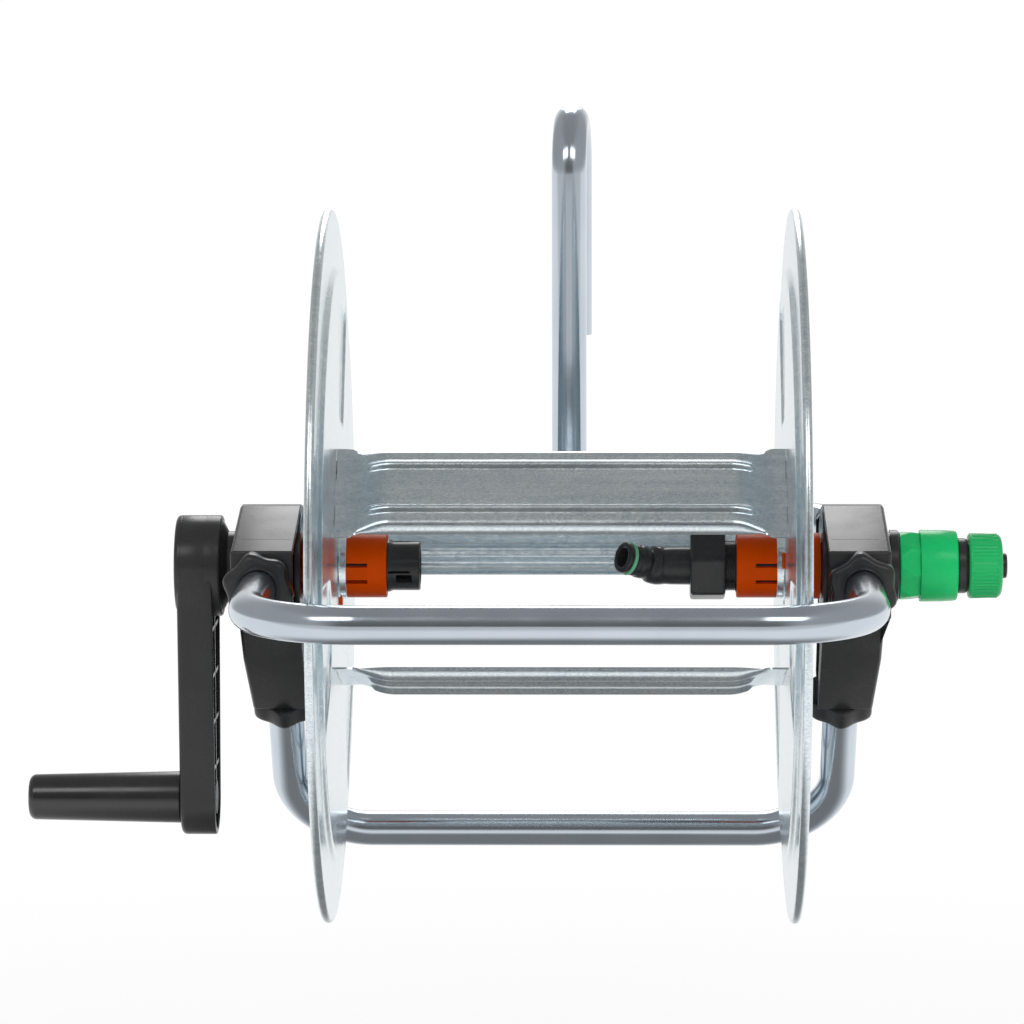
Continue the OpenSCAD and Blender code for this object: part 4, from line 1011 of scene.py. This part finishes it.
def hose_nut_shape():
    """Hose nut: a barrel of narrow triangular facets between two plain bands."""
    rows = [(HOSE_NUT_START, HOSE_NUT_BORE_R), (HOSE_NUT_START, 15.2), (HOSE_NUT_START + 0.3, 15.9),
            (HOSE_NUT_START + 1.0, HOSE_NUT_R), (HOSE_NUT_START + 1.6, HOSE_NUT_R),
            (HOSE_NUT_START + 1.7, HOSE_NUT_R, 0.0),
            (HOSE_NUT_END - 2.4, HOSE_NUT_R - 0.1, -math.pi / FACETS),
            (HOSE_NUT_END - 2.3, HOSE_NUT_R - 0.5), (HOSE_NUT_END - 1.2, 15.6), (HOSE_NUT_END - 0.3, 14.4),
            (HOSE_NUT_END, 13.4), (HOSE_NUT_END, TAIL_HOLE_R), (HOSE_NUT_END - 1.8, TAIL_HOLE_R),
            (HOSE_NUT_END - 1.8, HOSE_NUT_BORE_R)]
    sections = []
    for x, r, *shifts in rows:
        ring = []
        for k in range(FACETS * FACET_STEPS):
            a = 2 * math.pi * k / (FACETS * FACET_STEPS)
            q = r
            for shift in shifts:
                share = 1 - abs(off_middle(a, FACETS, shift)) * FACETS / math.pi
                q = min(r, r - FACET_DEPTH + FACET_DEPTH * share * FACET_PEAK)
            ring.append((q * math.cos(a), q * math.sin(a)))
        sections.append((x, ring))
    return Shape().across(sections, ring=True)


sleeve_shape().cover("release_sleeve", "sleeve", "green_plastic", smooth_angle=24.0)
hose_nut_shape().cover("hose_nut", "hose_nut", "dark_green_plastic", smooth_angle=12.0)

# STAGE

# Light of the studio's walls, by height from straight down to straight up
FRONT_WALL = [(0.0, 0.9), (0.38, 0.8), (0.45, 0.45), (0.51, 0.13), (0.72, 0.2), (0.86, 0.28), (1.0, 0.33)]
BACK_WALL = [(0.0, 1.0), (0.5, 0.95), (0.62, 0.74), (0.76, 0.46), (0.9, 0.34), (1.0, 0.33)]
SIDE_WALL = [(0.0, 0.9), (0.4, 0.75), (0.55, 0.43), (0.85, 0.42), (1.0, 0.33)]
FRONT_TO_BACK, MIDDLE_TO_SIDE = [(0.42, 0.0), (0.62, 1.0)], [(0.3, 0.0), (0.6, 1.0)]
WHITE = (1, 1, 1, 1)

# The floor's drop in mm, its half size in metres, and the metres over which its brightness changes. In
# reflections the second fade and level paint a shadow below the reel into the floor's glow.
FLOOR_DROP, FLOOR_HALF, FLOOR_GREY = 150.0, 80.0, (0.9, 0.9, 0.9, 1)
FADE_SHOWN, PAINTED_SHADOW_FADE, FADE_AHEAD = (0.25, 1.4), (0.16, 0.42), (-1.7, -0.9)
FLOOR_SHOWN, PAINTED_SHADOW_LEVEL, FLOOR_AHEAD = 0.8, 0.25, 0.7
GLOW_NEAR, GLOW_FAR = 1.05, 1.03


def make_world():
    """Studio walls that light the reel and show in its metal; the camera sees plain white."""
    world = bpy.data.worlds.new("studio")
    bpy.context.scene.world = world
    world.use_nodes = True
    world.node_tree.nodes.clear()
    g = Graph(world.node_tree)
    way = g.new("SeparateXYZ")
    g.link(g.new("TexCoord").outputs["Generated"], way.inputs[0])
    height = g.math("MULTIPLY_ADD", way.outputs["Z"], 0.5, 0.5)
    depth = g.ramp(g.math("MULTIPLY_ADD", way.outputs["Y"], 0.5, 0.5), FRONT_TO_BACK)
    width = g.ramp(g.math("ABSOLUTE", way.outputs["X"]), MIDDLE_TO_SIDE)
    middle = g.mix_colours(depth, g.ramp(height, FRONT_WALL), g.ramp(height, BACK_WALL))
    lit = g.new("Background")
    g.link(g.mix_colours(width, middle, g.ramp(height, SIDE_WALL)), lit.inputs["Color"])
    camera_ray = g.new("LightPath").outputs["Is Camera Ray"]
    light = g.mix_shaders(camera_ray, lit, g.new("Background", Color=WHITE))
    g.link(light, g.new("OutputWorld").inputs["Surface"])


def make_floor():
    """A pale floor that fades to white; metal shows it with a painted shadow below the reel, and darker far
    in front.
    """
    middle = place(0, 0, -DISC_R - FLOOR_DROP)
    corners = [(-1, -1), (1, -1), (1, 1), (-1, 1)]
    data = bpy.data.meshes.new("floor")
    data.from_pydata([(x * FLOOR_HALF, y * FLOOR_HALF, middle.z) for x, y in corners], [], [(0, 1, 2, 3)])
    floor = bpy.data.objects.new("floor", data)
    bpy.context.scene.collection.objects.link(floor)
    n = Surface("floor")
    n.set(Base_Color=FLOOR_GREY, Roughness=0.9)
    away = n.new("VectorMath")
    away.operation = "DISTANCE"
    away.inputs[1].default_value = middle
    n.link(n.coords, away.inputs[0])
    split = n.new("SeparateXYZ")
    n.link(n.coords, split.inputs[0])
    rays = n.new("LightPath")
    camera_ray, glossy_ray = rays.outputs["Is Camera Ray"], rays.outputs["Is Glossy Ray"]

    def fade(value, ends, low, high):
        return n.span(value, low, high, *ends, kind="SMOOTHSTEP")

    shown = n.math("MULTIPLY", camera_ray, fade(away.outputs["Value"], FADE_SHOWN, FLOOR_SHOWN, 1.0))
    seen = n.math("MULTIPLY", camera_ray, fade(away.outputs["Value"], FADE_SHOWN, GLOW_NEAR, GLOW_FAR))
    # Painted shadow: the floor's glow that metal reflects is dimmed near the reel
    painted_shadow = fade(away.outputs["Value"], PAINTED_SHADOW_FADE, PAINTED_SHADOW_LEVEL, 1.0)
    ahead = fade(split.outputs["Y"], FADE_AHEAD, FLOOR_AHEAD, 1.0)
    reflected = n.math("MULTIPLY", glossy_ray, n.math("MULTIPLY", painted_shadow, ahead))
    glow = n.new("Emission", Color=WHITE)
    n.link(n.math("MAXIMUM", seen, reflected), glow.inputs["Strength"])
    look = n.mix_shaders(n.math("MAXIMUM", shown, glossy_ray), n.bsdf, glow)
    n.link(look, n.tree.nodes["Material Output"].inputs["Surface"])
    data.materials.append(n.mat)


def area_light(name, spot, aim, size, power):
    """A lamp at a spot, turned to a point, both in mm from the axle; its size is in metres."""
    data = bpy.data.lights.new(name, "AREA")
    data.shape = "RECTANGLE"
    data.size, data.size_y = size
    data.energy = power
    lamp = bpy.data.objects.new(name, data)
    lamp.location = place(*spot)
    lamp.rotation_euler = (place(*aim) - place(*spot)).to_track_quat("-Z", "Y").to_euler()
    bpy.context.scene.collection.objects.link(lamp)
    return lamp


make_world()
make_floor()
area_light("back_box", (0, 1500, 1050), (0, 0, 100), (0.74, 0.95), 7)
area_light("left_strip", (-1000, -1600, 1500), (-1000, 0, 0), (1.35, 0.7), 7.5)
area_light("right_strip", (1000, -1600, 1500), (1000, 0, 0), (1.35, 0.7), 7.5)
area_light("front_fill", (0, -3000, 900), (0, 0, 0), (3.0, 2.0), 42).visible_glossy = False

bpy.context.scene.view_settings.view_transform = "Standard"
